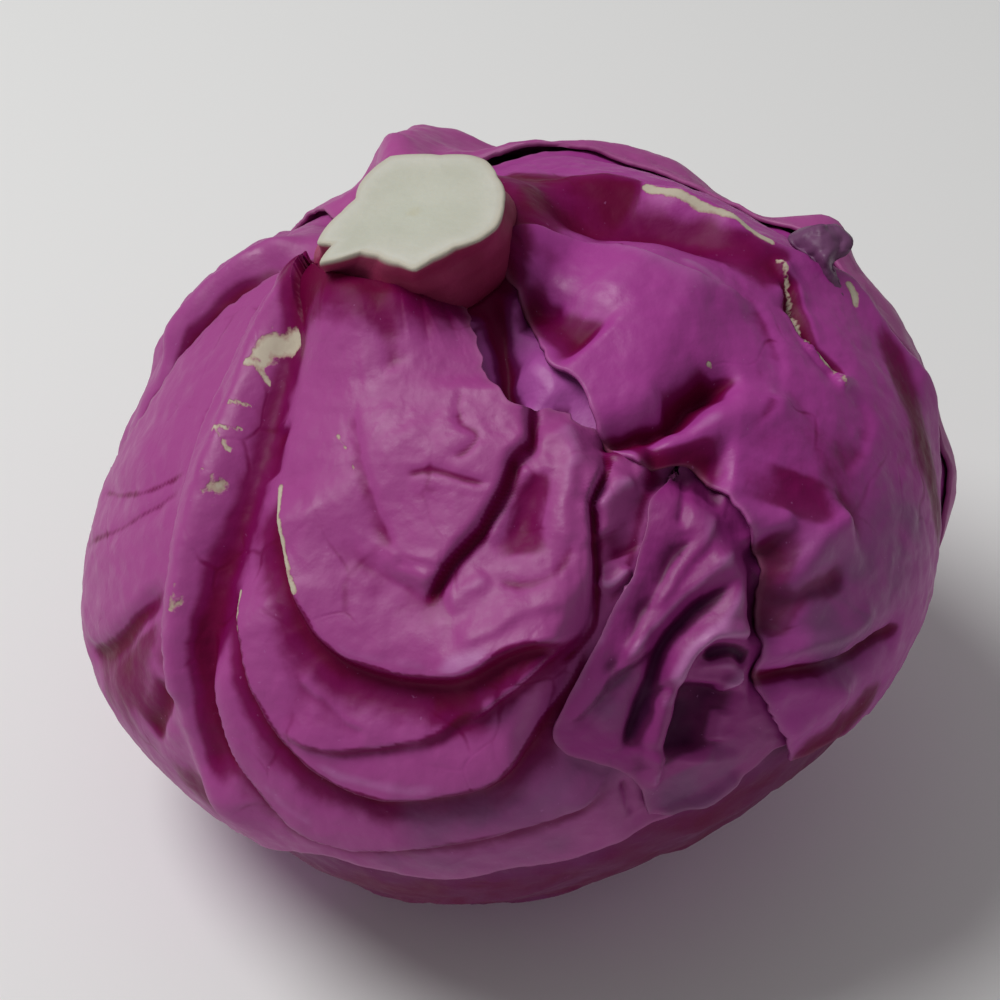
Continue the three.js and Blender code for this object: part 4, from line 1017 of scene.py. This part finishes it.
# The back left leaf: it wraps the head behind the front leaf's left half, and a lobe of it is folded
# over on the upper left outline.
SIDE_PURPLE = leaf_skin("back left leaf skin", (0.34, 0.05, 0.24), (0.15, 0.004, 0.07))
lobe = hidden((18, -132), (28, -127), (37, -121), (46, -117))
lobe_hollow = hidden((24, -118), (33, -110), (42, -105))
lobe_crease = hidden((19, -134), (26, -123), (35, -114), (44, -106), (53, -106))
side_midrib = hidden((14, -140), (40, -136), (70, -132), (100, -134))
back_left = leaf_form(
    level=-0.8, wave=0.03, teeth=0.008, under=[front, back],
    left=hidden((BASE, 172), (30, -178), (50, -176), (70, -176), (90, 178), (110, 172), (128, 170)),
    middle=hidden((BASE, -136), (30, -134), (50, -130), (70, -128), (90, -128), (112, -132), (132, -138)),
    right=hidden((BASE, -98), (25, -98), (42, -88), (60, -88), (80, -88), (100, -88), (122, -98)),
    bends=[fold(lobe, 4, 7, 5), fold(lobe_hollow, -4, 5), fold(lobe_crease, -2.5, 2.2)],
    ribs=[fold(side_midrib, 3, 5)],
    details=side_veins(5, start=26, step=16, slant=1, bearing=-135, root=0, near=(10, 14), far=(28, 26)),
)
leaf_sheet("back_left_leaf", back_left, "leaf_back_left", SIDE_PURPLE,
           rows=160, columns=130,
           # Painted shade in the lobe's hollow and crease, and a painted highlight on the lobe.
           shades_lights_and_tints=[fold(lobe_hollow, -1.2, 4), fold(lobe_crease, -1.6, 2.2, 2.2, 0.35), fold(lobe, 0.3, 5)],
           edge_lift=0.5, crumple=0.2)

# The valley leaf: a younger, brighter leaf deep between the front and the right leaf. It goes on over
# the crown, where the head lies on it, so its crown is pressed flat.
VALLEY_VIOLET = leaf_skin("valley leaf skin", (0.42, 0.075, 0.36), (0.15, 0.008, 0.09))
valley_groove = seen((483, 285), (495, 315), (503, 345), (508, 385), (520, 412))
valley_lobe = seen((520, 350), (545, 372), (560, 392))
valley_bed = seen((462, 262), (483, 293), (500, 335), (506, 376), (520, 410))
pressed_bed = seen((600, 445), (650, 470), (700, 460), (760, 500), (772, 600))
valley_swell, valley_dip = seen((548, 368)), seen((548, 420))
stalk_shade, lobe_shade = seen((470, 275), (500, 285)), seen((548, 408), (575, 410))
pinch_shade, torn_shade = seen((640, 460), (700, 470)), seen((760, 500), (775, 600))
crown_shade = hidden((112, -84), (116, -50), (118, 0), (116, 50), (112, 84))
valley_collar = hidden((11.5, -30), (12.5, 10), (11.5, 60))
valley = leaf_form(
    level=CROWN_LEVEL, wave=0.03, under=[front, right, torn, back_left, back],
    left=hidden((BASE, -24), (35, -34), (60, -44), (88, -58), (106, -80), (118, -104), (126, -132)),
    middle=hidden((BASE, 18), (60, 8), (120, 2), (180, 0), (224, 0)),
    right=hidden((BASE, 62), (35, 52), (60, 54), (86, 62), (104, 80), (116, 102), (126, 130)),
    bends=[
        fold(valley_bed, -2.8, 6),
        fold(valley_swell, 1, 6),
        fold(valley_dip, -2.6, 10),
        fold(pressed_bed, -2, 10),
        fold(valley_collar, 6, 7, 7, 0.1),
    ],
    details=[fold(valley_groove, -1.8, 2.2), fold(valley_lobe, 1.2, 3.5)]
    + side_veins(3, start=110, step=14, slant=2, bearing=0, root=4, near=(6, 26), far=(16, 52),
                 height=0.8, width=4),
)
leaf_sheet("valley_leaf", valley, "leaf_valley", VALLEY_VIOLET,
           rows=230, columns=170,
           # Painted shade in the groove, over the crown (darker towards the bottom), and in the gaps by the
           # stalk, the lobe, the pinch and the torn leaf; a painted highlight on the lobe.
           shades_lights_and_tints=[fold(valley_groove, -1.6, 1.8), fold(valley_lobe, 0.3, 3.2),
                  fold(crown_shade, -1.6, 24, 24, 0.35),
                  fold(stalk_shade, -1.2, 5), fold(lobe_shade, -0.9, 3),
                  fold(pinch_shade, -1.6, 9), fold(torn_shade, -1.6, 8)],
           bloom=[fold(crown_shade, 0.7, 18, 18, 0.35)])

# The inner leaves: three more wrapper leaves under those, each a third of the way round. They only
# show as the dark floor of the gaps between the outer ones.
INNER_PURPLE = leaf_skin("inner leaf skin", (0.33, 0.08, 0.3), (0.14, 0.01, 0.08))
INNER_LEVEL = -15.4
INNER_MARGIN = ((BASE, 24), (30, 46), (60, 57), (90, 57), (115, 50), (132, 36))
for side_name, bearing in (("left", -80), ("right", 40), ("back", 160)):
    margins = [hidden(*((reach, bearing + half * side) for reach, half in INNER_MARGIN))
               for side in (-1, 1)]
    inner = leaf_form(
        level=INNER_LEVEL, wave=0.03, left=margins[0], right=margins[1],
        middle=hidden((BASE, bearing), (60, bearing), (138, bearing)),
        bends=[], ribs=[fold(hidden((14, bearing), (60, bearing), (110, bearing)), 1.6, 4)],
    )
    leaf_sheet(f"inner_leaf_{side_name}", inner, f"leaf_inner_{side_name}", INNER_PURPLE,
               rows=60, columns=50)

# The heart: young leaves packed into one body round the core. It is wholly inside the other leaves,
# so its solid stays as it is and takes the pale purple of young leaf.
HEART_PALE = leaf_skin("heart skin", (0.48, 0.3, 0.46), (0.3, 0.12, 0.3))
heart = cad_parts["heart"]
heart.data.materials.clear()
heart.data.materials.append(HEART_PALE)

# The stalk: cut across with a knife, so it ends in a flat cream face with a paler rim. Under the face
# its wall is stained crimson, and inside the head it goes on as the core. It is one turned body whose
# outline follows the uneven cut.
CUT_HEIGHT, STALK_RADIUS, COLLAR_RADIUS = 76.0, 15.2, 17.5
CORE_RADIUS, CORE_TOP, CORE_END = 12.0, 44.0, -4.0
CUT_SPOKES, TURN_STEPS = 7, 160
CUT_DIP, RIM_START, RIM_ROUND = 0.2, 0.965, ((0.99, 0.1), (1.0, 0.5))
WALL_HEIGHTS = (74.5, 73, 71.5, 70, 68.5, 67, 65, 63, 61, 59, 56, 53, 50, 47, 44)
CORE_HEIGHTS = (38, 30, 22, 14, 8, 3, -1, -3)
COLLAR = ((CORE_TOP, CORE_RADIUS), (53, CORE_RADIUS), (57, 14), (60.2, COLLAR_RADIUS),
          (65.5, COLLAR_RADIUS + 0.8), (68.5, COLLAR_RADIUS + 0.6), (71, STALK_RADIUS + 0.8),
          (80, STALK_RADIUS))
LIKE_CUT = ((59, 0), (67, 0.15), (72, 0.6), (75.3, 1))
FLUTES, FLUTE_DEPTH, FLUTE_TOP = 9, 0.01, 75
FACE_DEPTH, FACE_SHARE, KNIFE_MARKS, KNIFE_SPAN = 0.6, 0.97, 0.06, 5.0
RING_DEPTH, OFF_FACE = 0.75, 1.2
STAIN_START, STAIN_FULL = 0.4, 1.6
CUT_EDGE = ((390, 155), (415, 153), (440, 154), (471, 154), (486, 159), (497, 175), (504, 201), (502, 213),
            (496, 226), (480, 238), (455, 246), (432, 258), (414, 269), (400, 263), (377, 254), (360, 251),
            (333, 243), (318, 262), (316, 242), (340, 212), (355, 198), (359, 183), (378, 163))


def on_cut(x, y):
    along = sight_line(x, y)
    start = eye - head_centre
    run = (CUT_HEIGHT - start @ stalk_axis) / (along @ stalk_axis)
    return (head_turn @ (start + run * along))[:2]


cut_edge = np.array([on_cut(x, y) for x, y in CUT_EDGE])
cut_middle = cut_edge.mean(0)
cut_turns = np.arctan2(*(cut_edge - cut_middle).T[::-1])
cut_order = np.argsort(cut_turns)
cut_reach = np.linalg.norm(cut_edge - cut_middle, axis=1)[cut_order]
cut_turns = cut_turns[cut_order]
cut_profile = [(RIM_START * i / CUT_SPOKES, CUT_HEIGHT - CUT_DIP * (1 - (i / CUT_SPOKES) ** 2))
               for i in range(CUT_SPOKES + 1)]
cut_profile += [(share, CUT_HEIGHT - drop) for share, drop in RIM_ROUND]
cut_profile += [(1.0, height) for height in WALL_HEIGHTS + CORE_HEIGHTS] + [(0.0, CORE_END)]
turned = bmesh.new()
spine = [turned.verts.new((radius, 0, height)) for radius, height in cut_profile]
for lower, upper in zip(spine, spine[1:]):
    turned.edges.new((lower, upper))
bmesh.ops.spin(turned, geom=turned.verts[:] + turned.edges[:], cent=(0, 0, 0), axis=(0, 0, 1),
               angle=math.tau, steps=TURN_STEPS, use_merge=True)
bmesh.ops.remove_doubles(turned, verts=turned.verts[:], dist=1e-5)
bmesh.ops.recalc_face_normals(turned, faces=turned.faces[:])
stalk_mesh = bpy.data.meshes.new("cut_stalk")
turned.to_mesh(stalk_mesh)
turned.free()
spun = np.empty(len(stalk_mesh.vertices) * 3)
stalk_mesh.vertices.foreach_get("co", spun)
spun = spun.reshape(-1, 3)
share, height = np.hypot(spun[:, 0], spun[:, 1]), spun[:, 2]
turn = np.arctan2(spun[:, 1], spun[:, 0])
cut_radius = np.interp(turn, cut_turns, cut_reach, period=math.tau)
core = np.clip((height - CORE_END) / (CORE_TOP - CORE_END), 0, 1)
round_radius = np.where(height > CORE_TOP, np.interp(height, *zip(*COLLAR)), CORE_RADIUS * np.sqrt(core))
like_cut = np.interp(height, *zip(*LIKE_CUT))
flutes = 1 + FLUTE_DEPTH * np.sin(FLUTES * turn) * (height < FLUTE_TOP)
radius = share * (like_cut * cut_radius + (1 - like_cut) * round_radius) * flutes
front_part = radius * np.cos(turn) + like_cut * cut_middle[0]
side_part = radius * np.sin(turn) + like_cut * cut_middle[1]
points = np.column_stack([front_part, side_part, height]) @ head_turn + head_centre
on_face = (height > CUT_HEIGHT - FACE_DEPTH) & (share < FACE_SHARE)
points += (KNIFE_MARKS * rumple(points, KNIFE_SPAN) * on_face)[:, None] * stalk_axis
stalk_mesh.vertices.foreach_set("co", np.ascontiguousarray(points * MM).ravel())
mark(stalk_mesh, "ring", np.where(height > CUT_HEIGHT - RING_DEPTH, share, OFF_FACE))
mark(stalk_mesh, "wall", ease(CUT_HEIGHT - height, STAIN_START, STAIN_FULL))
stalk_mesh.update()
stalk_mesh.shade_smooth()


FLESH_ROUGHNESS, GLOW, GLOW_REACH = 0.62, 0.08, (0.004, 0.003, 0.002)
FLESH_STRENGTH, FLESH_DISTANCE = 0.35, 0.0006
CREAM_RINGS = ((0.0, (0.5, 0.49, 0.38)), (0.12, (0.52, 0.53, 0.45)), (0.72, (0.53, 0.53, 0.455)),
               (0.9, (0.57, 0.565, 0.5)), (1.0, (0.5, 0.46, 0.38)))
CREAM_MOTTLE = ((0.3, (0.93, 0.93, 0.9)), (0.7, (1.02, 1.01, 1.0)))
WALL_STAIN = ((0.3, (0.24, 0.007, 0.055)), (0.75, (0.38, 0.03, 0.12)))
CREAM_GRAIN, STAIN_GRAIN, PITH_GRAIN = (120, 5), (90, 4), (500, 6)


def cut_flesh():
    flesh = bpy.data.materials.new("cut stalk flesh")
    flesh.use_nodes = True
    nodes, links = flesh.node_tree.nodes, flesh.node_tree.links
    surface = nodes["Principled BSDF"]
    place = nodes.new("ShaderNodeTexCoord").outputs["Object"]

    def grain(scale, detail):
        made = nodes.new("ShaderNodeTexNoise")
        links.new(place, made.inputs["Vector"])
        made.inputs["Scale"].default_value = scale
        made.inputs["Detail"].default_value = detail
        return made.outputs["Fac"]

    def ramp(source, *stops):
        made = nodes.new("ShaderNodeValToRGB")
        links.new(source, made.inputs["Fac"])
        while len(made.color_ramp.elements) < len(stops):
            made.color_ramp.elements.new(0.5)
        for element, (position, colour) in zip(made.color_ramp.elements, stops):
            element.position = position
            element.color = (*colour, 1)
        return made.outputs["Color"]

    def mixed(factor, first, second, how="MIX"):
        made = nodes.new("ShaderNodeMix")
        made.data_type, made.blend_type = "RGBA", how
        if isinstance(factor, float):
            made.inputs[0].default_value = factor
        else:
            links.new(factor, made.inputs[0])
        links.new(first, made.inputs[6])
        links.new(second, made.inputs[7])
        return made.outputs[2]

    def value(name):
        made = nodes.new("ShaderNodeAttribute")
        made.attribute_name = name
        return made.outputs["Fac"]

    cream = ramp(value("ring"), *CREAM_RINGS)
    mottled = ramp(grain(*CREAM_GRAIN), *CREAM_MOTTLE)
    stain = ramp(grain(*STAIN_GRAIN), *WALL_STAIN)
    colour = mixed(value("wall"), mixed(1.0, cream, mottled, "MULTIPLY"), stain)
    links.new(colour, surface.inputs["Base Color"])
    surface.inputs["Roughness"].default_value = FLESH_ROUGHNESS
    surface.inputs["Subsurface Weight"].default_value = GLOW
    surface.inputs["Subsurface Radius"].default_value = GLOW_REACH
    relief = nodes.new("ShaderNodeBump")
    relief.inputs["Strength"].default_value = FLESH_STRENGTH
    relief.inputs["Distance"].default_value = FLESH_DISTANCE
    links.new(grain(*PITH_GRAIN), relief.inputs["Height"])
    links.new(relief.outputs["Normal"], surface.inputs["Normal"])
    return flesh


stalk_mesh.materials.append(cut_flesh())
stalk = bpy.data.objects.new("cut_stalk", stalk_mesh)
bpy.context.collection.objects.link(stalk)
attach(stalk, "root")
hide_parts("stalk")

# The floor and the light: a plain pale floor, a broad soft light from the upper left and a weak fill.
FLOOR_HALF, FLOOR_GREY, FLOOR_ROUGHNESS = 4, (0.86, 0.86, 0.85, 1), 0.9
KEY_SPOT, KEY_SIZE, KEY_POWER = (-0.6, 0.05, 1.15), 0.7, 11
LIGHT_AIM, FILL_WHITE, FILL_STRENGTH = (0, 0, 0.06), (1, 1, 1, 1), 0.25
floor_mesh = bpy.data.meshes.new("pale_floor")
floor_form = bmesh.new()
bmesh.ops.create_grid(floor_form, x_segments=1, y_segments=1, size=FLOOR_HALF)
floor_form.to_mesh(floor_mesh)
floor_form.free()
floor = bpy.data.objects.new("pale_floor", floor_mesh)
bpy.context.collection.objects.link(floor)
floor_paint = bpy.data.materials.new("pale floor")
floor_paint.use_nodes = True
floor_surface = floor_paint.node_tree.nodes["Principled BSDF"]
floor_surface.inputs["Base Color"].default_value = FLOOR_GREY
floor_surface.inputs["Roughness"].default_value = FLOOR_ROUGHNESS
floor_mesh.materials.append(floor_paint)


key_lamp = bpy.data.lights.new("key_light", "AREA")
key_lamp.shape = "DISK"
key_lamp.size = KEY_SIZE
key_lamp.energy = KEY_POWER
key_light = bpy.data.objects.new("key_light", key_lamp)
bpy.context.collection.objects.link(key_light)
key_light.location = KEY_SPOT
key_light.rotation_euler = (Vector(LIGHT_AIM) - Vector(KEY_SPOT)).to_track_quat("-Z", "Y").to_euler()
world = bpy.data.worlds.new("studio")
world.use_nodes = True
fill = world.node_tree.nodes["Background"]
fill.inputs["Color"].default_value = FILL_WHITE
fill.inputs["Strength"].default_value = FILL_STRENGTH
bpy.context.scene.world = world
bpy.context.scene.view_settings.view_transform = "Standard"

# The camera stands where the photograph was taken from, looking down on the head from the front.
lens = bpy.data.cameras.new("camera")
lens.lens = LENS_MM
lens.sensor_width = SENSOR_MM
lens.clip_start, lens.clip_end = 0.01, 20
camera = bpy.data.objects.new("camera", lens)
bpy.context.collection.objects.link(camera)
camera_turn = Matrix(np.column_stack([view_right, view_up, view_back]).tolist()).to_4x4()
camera.matrix_world = Matrix.Translation(Vector(eye * MM)) @ camera_turn
bpy.context.scene.camera = camera
